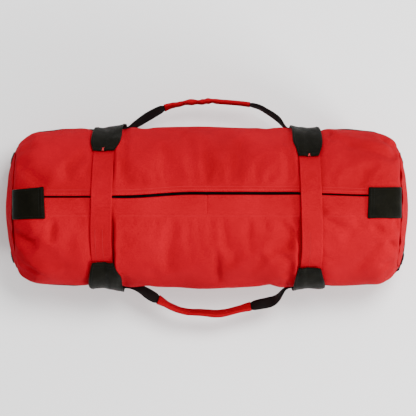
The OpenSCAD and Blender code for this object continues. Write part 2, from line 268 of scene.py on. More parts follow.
def x_stations():
    """Places of the canvas's rings, closer together at the straps' inner edges and round the shoulders."""
    flat = np.linspace(-SIDE_SHOULDER, SIDE_SHOULDER, 85)
    fine = 7.0                                           # the closer stations reach this far
    for e in (-1, 1):
        edge = STRAP_X[e] - e * STRAP_W / 2
        flat = np.concatenate([flat[np.abs(flat - edge) > fine + 0.5], edge + np.linspace(-fine, fine, 15)])
    flat = np.sort(flat)
    bend = SIDE_SHOULDER + (SEAM_X - SIDE_SHOULDER) * np.sin(np.radians(np.linspace(0, 90, 21)[1:]))
    return np.concatenate([-bend[::-1], flat, bend])


XS = x_stations()
TURNS = 180
TS = np.arange(TURNS) * 360 / TURNS
TT, XX = np.meshgrid(TS, XS)
GRID = skin(XX, TT, relief(XX, TT))
CENTRE = np.array([0, 0, LIFT + MID_Z])


def dome(edge, end, rhos):
    """Rows of an end panel inside its seam's ring of points, from its rim to near its middle."""
    ts = np.arange(len(edge)) * 360 / len(edge)
    middle = np.array([0, 0, LIFT + MID_Z + 2.0])
    top = near_turn(ts, 90, 42)
    rows = []
    for rho in rhos:
        p = middle + (edge - middle) * rho
        corner = (np.abs(edge[:, 0]) - SEAM_X) * rho ** 3
        bulge = (END_X + 0.8 - SEAM_X - 1.5) * (1 - rho ** 1.7)
        puckers = 1.4 * np.exp(-(1 - rho) / 0.12) * ripples(ts * 0 + end * 40, ts, 14, 30, 31 + end)
        slack = 2.0 * np.exp(-((p[:, 2] - 66) / 26) ** 2) * (1 - rho ** 2)
        p[:, 0] = end * (SEAM_X + 1.5 + 1.9 * top * rho ** 8 + corner + bulge + puckers - slack)
        rows.append(p)
    return np.array(rows)


def ring_faces(rows, cols):
    """Faces between the rings of a grid of points whose rows close on themselves."""
    return [(i * cols + j, i * cols + (j + 1) % cols, (i + 1) * cols + (j + 1) % cols, (i + 1) * cols + j)
            for i in range(rows - 1) for j in range(cols)]


def grid_normals(points):
    """Unit normals of the canvas's grid, pointing out of the bag."""
    along = np.gradient(points, axis=0)
    around = np.roll(points, -1, 1) - np.roll(points, 1, 1)
    n = np.cross(around, along)
    n /= np.maximum(np.linalg.norm(n, axis=-1, keepdims=True), 1e-9)
    out = points - CENTRE
    out[..., 0] = 0
    return np.where(np.sum(n * out, -1, keepdims=True) < 0, -n, n)


CLOTH_CELL = 5.5
SETTLE_FRAMES = 20
EVENING_ROUNDS = 60                        # how widely the overall swelling is averaged
MOST_MOVED = 5.5


def settle():
    """Lets the filled bag settle as cloth under pressure, held by its straps, zip and the ground.

    Gives the places of the cloth's points before, its faces, and how far each point then moves."""
    xs = np.concatenate([-SEAM_X + np.array([0, 1.5, 4]), np.linspace(-SEAM_X + 9, SEAM_X - 9, 108),
                         SEAM_X - np.array([4, 1.5, 0])])
    ts = TS[::2]
    rows = GRID[:, ::2]
    tube = np.stack([[np.interp(xs, XS, rows[:, j, k]) for j in range(len(ts))] for k in range(3)], -1)
    tube = tube.transpose(1, 0, 2)
    rhos = (0.97, 0.9, 0.78, 0.62, 0.45, 0.28, 0.12)
    left = dome(tube[0], -1, rhos)[::-1]
    right = dome(tube[-1], 1, rhos)
    rings = np.concatenate([left, tube, right])
    count, cols = rings.shape[:2]
    verts = list(rings.reshape(-1, 3) * MM) + [left[0].mean(0) * MM, right[-1].mean(0) * MM]
    faces = ring_faces(count, cols)
    last = (count - 1) * cols
    faces += [(count * cols, (j + 1) % cols, j) for j in range(cols)]
    faces += [(count * cols + 1, last + j, last + (j + 1) % cols) for j in range(cols)]
    mesh = bpy.data.meshes.new("settling")
    mesh.from_pydata([tuple(v) for v in verts], [], faces)
    obj = bpy.data.objects.new("settling", mesh)
    bpy.context.scene.collection.objects.link(obj)
    remesh = obj.modifiers.new("remesh", "REMESH")
    remesh.mode, remesh.voxel_size = "VOXEL", CLOTH_CELL * MM
    graph = bpy.context.evaluated_depsgraph_get()
    even = bpy.data.meshes.new_from_object(obj.evaluated_get(graph))
    obj.modifiers.clear()
    obj.data = even
    bpy.data.meshes.remove(mesh)

    rest = np.empty(len(even.vertices) * 3)
    even.vertices.foreach_get("co", rest)
    rest = rest.reshape(-1, 3) / MM
    x, y, z = rest.T
    high = z > LIFT + MID_Z
    held = np.zeros(len(rest))
    for e in (-1, 1):
        held = np.maximum(held, np.abs(x - STRAP_X[e]) < STRAP_W / 2 + 1)
        held = np.maximum(held, (np.abs(x - e * SEAM_X) < 4) * high * (np.abs(y - ZIP_Y) < 26))
    held = np.maximum(held, high * (y > FLY_Y - 4) * (y < 36) * (np.abs(x) < SEAM_X))
    held = np.maximum(held, z < 5)
    seam = np.exp(-((np.abs(x) - SEAM_X - 1) / 5) ** 2)
    for name, values in (("held", held), ("seam", seam)):
        group = obj.vertex_groups.new(name=name)
        for index, value in enumerate(values):
            if value > 0.02:
                group.add([index], float(value), "REPLACE")
    cloth = obj.modifiers.new("cloth", "CLOTH")
    settings = cloth.settings
    settings.quality = 5
    settings.mass = 0.3
    settings.tension_stiffness = settings.compression_stiffness = 15
    settings.shear_stiffness = 8
    settings.bending_stiffness = 0.6
    settings.use_pressure = True
    settings.uniform_pressure_force = 4
    settings.vertex_group_mass = "held"
    settings.vertex_group_shrink = "seam"
    settings.shrink_min, settings.shrink_max = -0.05, 0.05
    settings.effector_weights.gravity = 0
    cloth.collision_settings.use_collision = False
    cloth.point_cache.frame_start, cloth.point_cache.frame_end = 1, SETTLE_FRAMES
    scene = bpy.context.scene
    for frame_number in range(1, SETTLE_FRAMES + 1):
        scene.frame_set(frame_number)
    graph = bpy.context.evaluated_depsgraph_get()
    done = obj.evaluated_get(graph).to_mesh()
    moved = np.empty(len(done.vertices) * 3)
    done.vertices.foreach_get("co", moved)
    shift = moved.reshape(-1, 3) / MM - rest
    edges = np.empty(len(even.edges) * 2, int)
    even.edges.foreach_get("vertices", edges)
    edges = edges.reshape(-1, 2)
    polygons = [tuple(f.vertices) for f in even.polygons]
    obj.evaluated_get(graph).to_mesh_clear()
    scene.frame_set(1)
    bpy.data.objects.remove(obj)
    bpy.data.meshes.remove(even)

    # the overall swelling is taken off again, and what is left is capped
    degree = np.bincount(edges.ravel(), minlength=len(rest)).astype(float)
    smooth = shift.copy()
    for _ in range(EVENING_ROUNDS):
        total = np.zeros_like(smooth)
        np.add.at(total, edges[:, 0], smooth[edges[:, 1]])
        np.add.at(total, edges[:, 1], smooth[edges[:, 0]])
        smooth = 0.5 * smooth + 0.5 * total / degree[:, None]
    shift = shift - smooth
    shift *= 1 - 0.6 * ease((np.abs(rest[:, :1]) - 270) / 25)
    far = np.linalg.norm(shift, axis=1, keepdims=True)
    shift *= np.minimum(1, MOST_MOVED / np.maximum(far, 1e-6))
    return rest, polygons, shift


def settled(points):
    """Points moved with the cloth next to them."""
    if SETTLED is None:
        return points
    rest, polygons, shift, tree = SETTLED
    out = points.reshape(-1, 3).copy()
    for index, p in enumerate(out):
        near, _, face, _ = tree.find_nearest(Vector(p))
        ids = list(polygons[face])
        w = 1 / (np.linalg.norm(rest[ids] - np.array(near), axis=1) + 0.3)
        out[index] = p + (shift[ids] * (w / w.sum())[:, None]).sum(0)
    return out.reshape(points.shape)


SETTLED = None
found = settle()
SETTLED = (*found, BVHTree.FromPolygons([tuple(v) for v in found[0]], found[1]))
GRID = settled(GRID)
GRID[..., 2] = np.maximum(GRID[..., 2], 0.4)
NORMALS = grid_normals(GRID)


def canvas(x, t, d=0.0):
    """Points on the finished canvas, d above it."""
    x, t, d = np.broadcast_arrays(np.asarray(x, float), np.asarray(t, float), np.asarray(d, float))
    i = np.clip(np.searchsorted(XS, x) - 1, 0, len(XS) - 2)
    u = np.clip((x - XS[i]) / (XS[i + 1] - XS[i]), 0, 1)[..., None]
    turn = (t % 360) * TURNS / 360
    j = np.floor(turn).astype(int) % TURNS
    v = (turn - np.floor(turn))[..., None]
    k = (j + 1) % TURNS

    def at(values):
        return mix(mix(values[i, j], values[i + 1, j], u), mix(values[i, k], values[i + 1, k], u), v)

    n = at(NORMALS)
    return at(GRID) + n / np.linalg.norm(n, axis=-1, keepdims=True) * d[..., None]


def laid(x, t, d, spread=10.0, about=None):
    """Points d above the canvas for a stiffer sheet, which bridges the small folds under it.

    The canvas's folds are averaged over the spread on both sides of x, or of the line about."""
    x, t, d = np.broadcast_arrays(np.asarray(x, float), np.asarray(t, float), np.asarray(d, float))
    middle = x if about is None else np.broadcast_to(about, x.shape)
    folds = sum(canvas(middle + step, t) - skin(middle + step, t, 0) for step in (-spread, 0, spread)) / 3
    return skin(x, t, d) + folds


PANEL_RHOS = np.concatenate([[1.0, 0.985, 0.965], np.linspace(0.94, 0.04, 24)])


def panel_rows(end):
    """The seam's ring of a finished end panel, and the panel's rings from there to near its middle."""
    edge = GRID[0 if end < 0 else -1].copy()
    edge[:, 0] = end * SEAM_X + lean(np.full(TURNS, end * SEAM_X), TS)
    return edge, settled(dome(edge, end, PANEL_RHOS))


def panel_tree(end):
    """An end panel's surface, for finding places on it."""
    rows = panel_rows(end)[1]
    return BVHTree.FromPolygons([tuple(p) for p in rows.reshape(-1, 3)], ring_faces(len(rows), TURNS))


PANEL_TREE = {end: panel_tree(end) for end in (-1, 1)}


def panel_x(end, y, z):
    """Distance of an end panel's surface from the bag's middle, at y and z.

    Past its rim it stays at the rim."""
    found = PANEL_TREE[end].ray_cast(Vector((end * 400, y, z)), Vector((-end, 0, 0)))[0]
    if found is None:
        found = PANEL_TREE[end].find_nearest(Vector((end * (SEAM_X + 4), y, z)))[0]
    return abs(found[0])


# ---- the slit ----

def slit_y(x):
    """Middle of the slit, which runs a little further forward at both ends."""
    return 22.2 - 5.4 * ease((-20 - x) / 110) - 3.2 * ease((x - 140) / 110)


def slit_w(x):
    """Width of the slit, which gapes between the straps."""
    return 3.3 + 1.9 * ease((185 - np.abs(x)) / 70)


# ---- mesh helpers ----

def add_subdivision(obj, levels):
    mod = obj.modifiers.new("smooth", "SUBSURF")
    mod.levels = mod.render_levels = levels


def piece(name, verts, faces, material, body, uvs=None, subdivide=0):
    """A new object from points in millimetres, riding on a body unless that is None."""
    mesh = bpy.data.meshes.new(name)
    mesh.from_pydata((np.asarray(verts) * MM).tolist(), [], faces)
    mesh.update()
    if uvs is not None:
        layer = mesh.uv_layers.new(name="cloth")
        layer.data.foreach_set("uv", np.asarray(uvs, np.float32).ravel())
    mesh.shade_smooth()
    mesh.materials.append(material)
    obj = bpy.data.objects.new(name, mesh)
    bpy.context.scene.collection.objects.link(obj)
    if subdivide:
        add_subdivision(obj, subdivide)
    if body:
        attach(obj, body)
    return obj


def lengths(points, axis):
    """Running length of a grid along an axis, taken through its middle."""
    middle = np.take(points, points.shape[1 - axis] // 2, 1 - axis)
    return np.concatenate([[0], np.cumsum(np.linalg.norm(np.diff(middle, axis=0), axis=1))])


def grid_piece(name, points, material, body, wrap=False, subdivide=0):
    """Open sheet through a grid of points. With wrap, each row closes on itself."""
    rows, cols = points.shape[:2]
    us = lengths(points, 0)
    vs = lengths(points, 1)
    if wrap:
        vs = np.append(vs, vs[-1] + vs[1])
    last = cols if wrap else cols - 1
    faces, uvs = [], []
    for i in range(rows - 1):
        for j in range(last):
            k = (j + 1) % cols
            faces.append((i * cols + j, (i + 1) * cols + j, (i + 1) * cols + k, i * cols + k))
            uvs += [(us[i], vs[j]), (us[i + 1], vs[j]), (us[i + 1], vs[j + 1]), (us[i], vs[j + 1])]
    return piece(name, points.reshape(-1, 3), faces, material, body, np.array(uvs) * MM, subdivide)


def facing(points, outward):
    """Unit normals of a grid, on the side that outward points to."""
    n = np.cross(np.gradient(points, axis=0), np.gradient(points, axis=1))
    n /= np.maximum(np.linalg.norm(n, axis=-1, keepdims=True), 1e-9)
    mean = n.reshape(-1, 3).mean(0)
    return n if mean @ np.asarray(outward, float) >= 0 else -n


def slab_piece(name, points, thick, outward, material, body, bulge=0.45):
    """Thick sheet with rounded edges. points is its underside; thick may vary over the grid."""
    rows, cols = points.shape[:2]
    thick = np.broadcast_to(np.asarray(thick, float), (rows, cols))
    n = facing(points, outward)
    top = points + n * thick[..., None]
    middle = (points + top) / 2
    border = ([(0, j) for j in range(cols)] + [(i, cols - 1) for i in range(1, rows)]
              + [(rows - 1, j) for j in range(cols - 2, -1, -1)] + [(i, 0) for i in range(rows - 2, 0, -1)])
    rim = []
    for i, j in border:
        inner = middle[min(max(i, 1), rows - 2), min(max(j, 1), cols - 2)]
        away = middle[i, j] - inner
        rim.append(middle[i, j] + away / max(np.linalg.norm(away), 1e-6) * thick[i, j] * bulge)
    verts = np.concatenate([top.reshape(-1, 3), points.reshape(-1, 3), np.array(rim)])
    us, vs = lengths(points, 0), lengths(points, 1)
    k, r0 = rows * cols, 2 * rows * cols
    flip = np.sum(np.cross(points[1, 0] - points[0, 0], points[0, 1] - points[0, 0]) * n[0, 0]) < 0
    faces, uvs = [], []

    def add(corners, coords):
        if flip:
            corners, coords = corners[::-1], coords[::-1]
        faces.append(tuple(corners))
        uvs.extend(coords)

    for i in range(rows - 1):
        for j in range(cols - 1):
            ids = [i * cols + j, (i + 1) * cols + j, (i + 1) * cols + j + 1, i * cols + j + 1]
            at = [(us[i], vs[j]), (us[i + 1], vs[j]), (us[i + 1], vs[j + 1]), (us[i], vs[j + 1])]
            add(ids, at)
            add([k + v for v in ids[::-1]], at[::-1])
    for a in range(len(border)):
        b = (a + 1) % len(border)
        (i, j), (p, q) = border[a], border[b]
        at_a, at_b = (us[i], vs[j]), (us[p], vs[q])
        add([i * cols + j, p * cols + q, r0 + b, r0 + a], [at_a, at_b, at_b, at_a])
        add([r0 + a, r0 + b, k + p * cols + q, k + i * cols + j], [at_a, at_b, at_b, at_a])
    return piece(name, verts, faces, material, body, np.array(uvs) * MM, 1)


def thick_around(name, points, n, thick, material, body):
    """Thick sheet like slab_piece, for one that goes round the bag and so has no single facing."""
    rows, cols = points.shape[:2]
    thick = np.broadcast_to(np.asarray(thick, float), (rows, cols))[..., None]
    low, high = points, points + n * thick
    edge = (low + high) / 2

    def out_at(j, k):
        away = edge[:, j] - edge[:, k]
        return edge[:, j] + away / np.linalg.norm(away, axis=1, keepdims=True) * thick[:, j] * 0.4

    loop = np.concatenate([high, out_at(-1, -2)[:, None], low[:, ::-1], out_at(0, 1)[:, None]], 1)
    us = lengths(points, 0)
    vs = np.concatenate([lengths(points, 1), [lengths(points, 1)[-1]], lengths(points, 1)[::-1], [0, 0]])
    count = loop.shape[1]
    faces, uvs = [], []
    for i in range(rows - 1):
        for j in range(count):
            k = (j + 1) % count
            faces.append((i * count + j, i * count + k, (i + 1) * count + k, (i + 1) * count + j))
            uvs += [(us[i], vs[j]), (us[i], vs[j + 1]), (us[i + 1], vs[j + 1]), (us[i + 1], vs[j])]
    for row in (0, rows - 1):
        ids = [row * count + j for j in range(count)]
        faces.append(tuple(ids[::-1] if row == 0 else ids))
        uvs += [(us[row], v) for v in (vs[:count][::-1] if row == 0 else vs[:count])]
    return piece(name, loop.reshape(-1, 3), faces, material, body, np.array(uvs) * MM, 1)


def edged(n, edge=0.03):
    """0 to 1 in n steps, with an extra step close to each end that keeps a sewn edge crisp."""
    return np.concatenate([[0, edge], np.linspace(0, 1, n + 1)[1:-1], [1 - edge, 1]])


def smooth_through(points, count):
    """Points on a smooth curve through a few given ones, evenly spread."""
    p = np.asarray(points, float)
    p = np.vstack([2 * p[0] - p[1], p, 2 * p[-1] - p[-2]])
    out = []
    for s in np.linspace(0, len(p) - 3 - 1e-9, count):
        i, u = int(s), s - int(s)
        a, b, c, e = p[i:i + 4]
        out.append(0.5 * (2 * b + (c - a) * u + (2 * a - 5 * b + 4 * c - e) * u * u
                          + (3 * b - a - 3 * c + e) * u ** 3))
    return np.array(out)


def sweep_piece(name, centres, wide, a, b, material, body, sides=20, power=3.0, subdivide=1, hollow=0.0):
    """Tube along a line. Its section is a rounded rectangle 2a wide and 2b thick.

    wide gives the section's long direction. With hollow, the ends are open and the wall is that thick."""
    centres, wide = np.asarray(centres, float), np.asarray(wide, float)
    count = len(centres)
    a, b = np.broadcast_to(a, count), np.broadcast_to(b, count)
    ahead = np.gradient(centres, axis=0)
    ahead /= np.linalg.norm(ahead, axis=1, keepdims=True)
    thin = np.cross(ahead, wide)
    thin /= np.linalg.norm(thin, axis=1, keepdims=True)
    broad = np.cross(thin, ahead)
    angle = np.arange(sides) * 2 * np.pi / sides
    c, s = np.cos(angle), np.sin(angle)
    p = np.sign(c) * np.abs(c) ** (2 / power)
    q = np.sign(s) * np.abs(s) ** (2 / power)

    def ring(i, less=0.0):
        return centres[i] + np.outer(p * (a[i] - less), broad[i]) + np.outer(q * (b[i] - less), thin[i])

    rings = [ring(i) for i in range(count)]
    along = list(lengths(centres[:, None, :].repeat(2, 1), 0))
    if hollow:
        rings = ([ring(0, hollow), ring(0, hollow * 0.3)] + rings
                 + [ring(count - 1, hollow * 0.3), ring(count - 1, hollow)])
        inner = [ring(i, hollow) for i in (min(3, count - 1), max(0, count - 4))]
        rings = [inner[0]] + rings + [inner[1]]
        along = [3, 0, 0] + along + [along[-1], along[-1], along[-1] - 3]
    else:
        rings = ([rings[0] * 0.5 + centres[0] * 0.5] + rings + [rings[-1] * 0.5 + centres[-1] * 0.5])
        along = [along[0]] + along + [along[-1]]
    points = np.array(rings)
    obj = grid_piece(name, points, material, None, wrap=True)
    if not hollow:
        close_ends(obj, len(rings), sides)
    if subdivide:
        add_subdivision(obj, subdivide)
    if body:
        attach(obj, body)
    return obj


def replace_mesh(obj, places, faces, uvs=None):
    """Gives a piece other points and faces, with its material kept."""
    material = obj.data.materials[0]
    mesh = bpy.data.meshes.new(obj.data.name)
    mesh.from_pydata(places, [], faces)
    layer = mesh.uv_layers.new(name="cloth")
    if uvs is not None:
        layer.data.foreach_set("uv", np.array(uvs, np.float32).ravel())
    mesh.shade_smooth()
    mesh.materials.append(material)
    obj.data = mesh


def close_ends(obj, rows, sides):
    """Closes both ends of a swept tube."""
    mesh = obj.data
    places = [v.co[:] for v in mesh.vertices]
    faces = [tuple(f.vertices) for f in mesh.polygons]
    uvs = [tuple(loop.uv) for loop in mesh.uv_layers["cloth"].data]
    caps = [tuple(range(sides)), tuple((rows - 1) * sides + i for i in range(sides - 1, -1, -1))]
    for cap in caps:
        faces.append(cap)
        uvs += [(MM * np.cos(i), MM * np.sin(i)) for i in range(sides)]
    replace_mesh(obj, places, faces, uvs)


def close_pole(obj, rows, cols):
    """Closes the last ring of a grid with a point in its middle."""
    places = [v.co[:] for v in obj.data.vertices]
    faces = [tuple(f.vertices) for f in obj.data.polygons]
    last = (rows - 1) * cols
    centre = len(places)
    places.append(tuple(np.mean([places[last + j] for j in range(cols)], 0)))
    faces += [(last + j, centre, last + (j + 1) % cols) for j in range(cols)]
    replace_mesh(obj, places, faces)


class Thread:
    """Collects stitches, to make one piece of each seam or group of seams."""

    def __init__(self):
        self.verts, self.faces = [], []

    def run(self, points, normals, pitch, long, radius, lift=0.12):
        """Adds a row of stitches along a line on a surface."""
        points, normals = np.asarray(points, float), np.asarray(normals, float)
        gone = np.concatenate([[0], np.cumsum(np.linalg.norm(np.diff(points, axis=0), axis=1))])

        def at(s):
            return np.array([np.interp(s, gone, points[:, k]) for k in range(3)])

        def up(s):
            return np.array([np.interp(s, gone, normals[:, k]) for k in range(3)])

        for s in np.arange(pitch / 2, gone[-1] - long, pitch):
            a, b, n = at(s), at(s + long), up(s + long / 2)
            ahead = b - a
            ahead /= max(np.linalg.norm(ahead), 1e-9)
            across = np.cross(ahead, n)
            base = len(self.verts)
            for share, size, sink in ((0.0, 0.45, -0.55), (0.2, 0.95, 0), (0.8, 0.95, 0), (1.0, 0.45, -0.55)):
                centre = mix(a, b, share) + n * (lift + sink * radius)
                for k in range(6):
                    w = k * np.pi / 3
                    self.verts.append(centre + radius * size * (np.cos(w) * across + np.sin(w) * n))
            for ring in range(3):
                for k in range(6):
                    p, q = base + ring * 6 + k, base + ring * 6 + (k + 1) % 6
                    self.faces.append((p, q, q + 6, p + 6))
            self.faces.append(tuple(base + k for k in range(5, -1, -1)))
            self.faces.append(tuple(base + 18 + k for k in range(6)))

    def finish(self, name, material, body):
        return piece(name, self.verts, self.faces, material, body)


# ---- materials ----

class Nodes:
    """A material's node tree, with short calls for the nodes used here."""

    def __init__(self, name):
        self.material = bpy.data.materials.new(name)
        self.material.use_nodes = True
        self.tree = self.material.node_tree
        self.tree.nodes.clear()
        self.out = self.add("ShaderNodeOutputMaterial")
        self.shader = self.add("ShaderNodeBsdfPrincipled")
        self.link(self.shader.outputs[0], self.out.inputs[0])

    def add(self, kind, **values):
        node = self.tree.nodes.new(kind)
        for key, value in values.items():
            if hasattr(node, key):
                setattr(node, key, value)
            else:
                node.inputs[key.replace("_", " ")].default_value = value
        return node

    def link(self, a, b):
        self.tree.links.new(a, b)

    def set(self, **values):
        for key, value in values.items():
            self.shader.inputs[key.replace("_", " ")].default_value = value

    def cloth(self, scale_u, scale_v):
        uv = self.add("ShaderNodeUVMap", uv_map="cloth")
        scale = self.add("ShaderNodeVectorMath", operation="MULTIPLY")
        scale.inputs[1].default_value = (scale_u, scale_v, 1)
        self.link(uv.outputs[0], scale.inputs[0])
        return scale.outputs[0]

    def place(self):
        return self.add("ShaderNodeTexCoord").outputs["Object"]

    def noise(self, vector, scale, detail=3.0, rough=0.55):
        node = self.add("ShaderNodeTexNoise", Scale=scale, Detail=detail, Roughness=rough)
        self.link(vector, node.inputs["Vector"])
        return node.outputs[0]

    def math(self, operation, a, b):
        node = self.add("ShaderNodeMath", operation=operation)
        for socket, value in zip(node.inputs, (a, b)):
            if isinstance(value, (int, float)):
                socket.default_value = value
            else:
                self.link(value, socket)
        return node.outputs[0]

    def remap(self, value, low, high, to_low, to_high):
        node = self.add("ShaderNodeMapRange")
        self.link(value, node.inputs[0])
        for index, number in zip((1, 2, 3, 4), (low, high, to_low, to_high)):
            node.inputs[index].default_value = number
        return node.outputs[0]

    def colours(self, factor, a, b):
        node = self.add("ShaderNodeMix", data_type="RGBA")
        self.link(factor, node.inputs[0])
        for socket, value in ((node.inputs[6], a), (node.inputs[7], b)):
            if isinstance(value, tuple):
                socket.default_value = (*value, 1)
            else:
                self.link(value, socket)
        return node.outputs[2]

    def bump(self, height, strength, distance_mm, under=None):
        node = self.add("ShaderNodeBump", Strength=strength, Distance=distance_mm * MM)
        self.link(height, node.inputs["Height"])
        if under is not None:
            self.link(under, node.inputs["Normal"])
        return node.outputs[0]

    def wave(self, vector, direction, scale):
        node = self.add("ShaderNodeTexWave", wave_type="BANDS", bands_direction=direction,
                        wave_profile="SIN", Scale=scale)
        self.link(vector, node.inputs["Vector"])
        return node.outputs[1]


ONE_BAND = 0.31416                         # wave scale at which a band is one unit wide, 2 pi / 20


def weave_height(n, pitch_mm):
    """Plain weave: threads over and under each other. One thread is pitch_mm wide."""
    vector = n.cloth(1 / (pitch_mm * MM), 1 / (pitch_mm * MM))
    warp = n.wave(vector, "X", ONE_BAND)
    weft = n.wave(vector, "Y", ONE_BAND)
    check = n.add("ShaderNodeTexChecker", Scale=1.0)
    n.link(vector, check.inputs["Vector"])
    node = n.add("ShaderNodeMix", data_type="FLOAT")
    n.link(check.outputs[1], node.inputs[0])
    n.link(warp, node.inputs[2])
    n.link(weft, node.inputs[3])
    return node.outputs[0]


def woven(name, deep, light, pitch_mm, rough, sheen, bump_mm, sheen_tint=(1, 1, 1), gap_shade=0.5):
    """Plain-woven cloth, deep and light in soft patches, with painted shade darkening the gaps between its
    threads.
    """
    n = Nodes(name)
    weave = weave_height(n, pitch_mm)
    place = n.place()
    cloud = n.noise(place, 9, 4)
    speck = n.noise(place, 420, 3)
    tone = n.remap(cloud, 0.35, 0.65, 0, 1)
    base = n.colours(tone, deep, light)
    # painted shade: the colour darkens in the low gaps of the weave, times a random speckle of tone
    thread = n.math("MULTIPLY", n.remap(weave, 0, 1, 1 - gap_shade, 1.0), n.remap(speck, 0.3, 0.7, 0.9, 1.07))
    dark = n.add("ShaderNodeVectorMath", operation="SCALE")
    n.link(base, dark.inputs[0])
    n.link(thread, dark.inputs["Scale"])
    n.link(dark.outputs[0], n.shader.inputs["Base Color"])
    n.link(n.remap(cloud, 0.3, 0.7, rough - 0.05, rough + 0.06), n.shader.inputs["Roughness"])
    soft = n.bump(n.noise(place, 60, 3), 0.25, 1.2)
    n.link(n.bump(weave, 0.7, bump_mm, soft), n.shader.inputs["Normal"])
    n.set(Sheen_Weight=sheen, Sheen_Roughness=0.45, Sheen_Tint=(*sheen_tint, 1), Specular_IOR_Level=0.025)
    return n.material


def ribbed(name, deep, light, rib_mm, pick_mm, rough):
    """Webbing: ribs along the strap, crossed by fine picks, with painted shade in the grooves between them.
    """
    n = Nodes(name)
    vector = n.cloth(1 / (pick_mm * MM), 1 / (rib_mm * MM))
    ribs = n.wave(vector, "Y", ONE_BAND)
    picks = n.wave(vector, "X", ONE_BAND)
    height = n.math("ADD", n.math("MULTIPLY", ribs, 0.6), n.math("MULTIPLY", picks, 0.4))
    cloud = n.noise(n.place(), 30, 3)
    fuzz = n.noise(n.place(), 1400, 2)
    # painted shade: the colour follows the ribs' height, dark in the grooves, times a random cloud of tone
    base = n.colours(n.math("MULTIPLY", height, n.remap(cloud, 0.3, 0.7, 0.55, 1.0)), deep, light)
    n.link(base, n.shader.inputs["Base Color"])
    n.link(n.remap(fuzz, 0.3, 0.7, rough - 0.08, rough + 0.08), n.shader.inputs["Roughness"])
    n.link(n.bump(height, 0.8, 0.35), n.shader.inputs["Normal"])
    n.set(Sheen_Weight=0.02, Sheen_Roughness=0.5, Specular_IOR_Level=0.08)
    return n.material


def leather(name, deep, light, rough):
    """Pebbled leather with fine pores, creased and worn smoother in places."""
    n = Nodes(name)
    place = n.place()
    grain = n.add("ShaderNodeTexVoronoi", feature="DISTANCE_TO_EDGE", Scale=900)
    n.link(place, grain.inputs["Vector"])
    pebble = n.remap(grain.outputs[0], 0, 0.25, 0, 1)
    pore = n.noise(place, 2600, 3)
    crease = n.noise(place, 70, 5, 0.65)
    tone = n.math("MULTIPLY", pebble, n.remap(crease, 0.3, 0.7, 0.35, 1.0))
    n.link(n.colours(tone, deep, light), n.shader.inputs["Base Color"])
    n.link(n.remap(crease, 0.3, 0.7, rough + 0.1, rough - 0.06), n.shader.inputs["Roughness"])
    height = n.math("ADD", n.math("MULTIPLY", pebble, 0.7), n.math("MULTIPLY", pore, 0.3))
    n.link(n.bump(height, 0.55, 0.22, n.bump(crease, 0.5, 1.0)), n.shader.inputs["Normal"])
    n.set(Specular_IOR_Level=0.03)
    return n.material


def cord_thread(name, deep, light):
    """Twisted sewing thread."""
    n = Nodes(name)
    twist = n.wave(n.place(), "DIAGONAL", 700)
    n.link(n.colours(twist, deep, light), n.shader.inputs["Base Color"])
    n.link(n.bump(twist, 0.5, 0.1), n.shader.inputs["Normal"])
    n.link(n.remap(n.noise(n.place(), 300), 0.3, 0.7, 0.55, 0.75), n.shader.inputs["Roughness"])
    n.set(Specular_IOR_Level=0.08)
    return n.material


def hard(name, deep, light, rough, metallic, grain_scale):
    """Painted metal or moulded plastic with a fine, slightly worn surface."""
    n = Nodes(name)
    place = n.place()
    wear = n.noise(place, grain_scale, 4, 0.6)
    n.link(n.colours(n.remap(wear, 0.4, 0.75, 0, 1), deep, light), n.shader.inputs["Base Color"])
    n.link(n.remap(wear, 0.3, 0.7, rough, rough + 0.18), n.shader.inputs["Roughness"])
    n.link(n.bump(n.noise(place, grain_scale * 6), 0.2, 0.08), n.shader.inputs["Normal"])
    n.set(Metallic=metallic)
    return n.material


def sand_grains(name):
    """Dry sand, each grain its own shade."""
    n = Nodes(name)
    grain = n.add("ShaderNodeTexVoronoi", Scale=1400)
    n.link(n.place(), grain.inputs["Vector"])
    n.link(n.colours(n.remap(grain.outputs[0], 0, 0.8, 0, 1), (0.62, 0.46, 0.28), (0.3, 0.2, 0.11)),
           n.shader.inputs["Base Color"])
    n.link(n.bump(grain.outputs[0], 0.8, 0.5), n.shader.inputs["Normal"])
    n.set(Roughness=0.9)
    return n.material


RED_SHEEN = (1.0, 0.02, 0.1)
CANVAS = woven("red_canvas", (0.385, 0.0002, 0.0085), (0.495, 0.0003, 0.0125), pitch_mm=0.62, rough=0.85,
               sheen=0.03, bump_mm=0.3, sheen_tint=RED_SHEEN, gap_shade=0.34)
# the grip sleeve is the same red canvas, its colours darkened as painted shade
SHADED_SLEEVE = woven("red_sleeve_painted_shade", (0.31, 0.0002, 0.006), (0.43, 0.0003, 0.010), pitch_mm=0.62, rough=0.85,
               sheen=0.03, bump_mm=0.3, sheen_tint=RED_SHEEN, gap_shade=0.4)
WEBBING = ribbed("black_webbing", (0.0015, 0.001, 0.001), (0.009, 0.006, 0.006), rib_mm=2.4, pick_mm=1.1,
                 rough=0.75)
LEATHER = leather("black_leather", (0.0014, 0.0013, 0.0006), (0.0075, 0.0068, 0.0034), rough=0.5)
TAPE = woven("zip_tape", (0.001, 0.001, 0.001), (0.004, 0.004, 0.004), pitch_mm=0.5, rough=0.85, sheen=0.0,
             bump_mm=0.15)
COIL = hard("zip_coil", (0.006, 0.006, 0.006), (0.03, 0.03, 0.03), rough=0.4, metallic=0.0, grain_scale=400)
METAL = hard("zip_metal", (0.02, 0.02, 0.021), (0.12, 0.115, 0.11), rough=0.35, metallic=0.85,
             grain_scale=160)
RED_THREAD = cord_thread("red_thread", (0.42, 0.01, 0.014), (0.72, 0.06, 0.07))
CANVAS_THREAD = cord_thread("canvas_thread", (0.40, 0.002, 0.012), (0.60, 0.012, 0.025))
STRAP_THREAD = cord_thread("strap_thread", (0.14, 0.001, 0.004), (0.52, 0.022, 0.03))
BLACK_THREAD = cord_thread("black_thread", (0.002, 0.002, 0.002), (0.014, 0.014, 0.012))
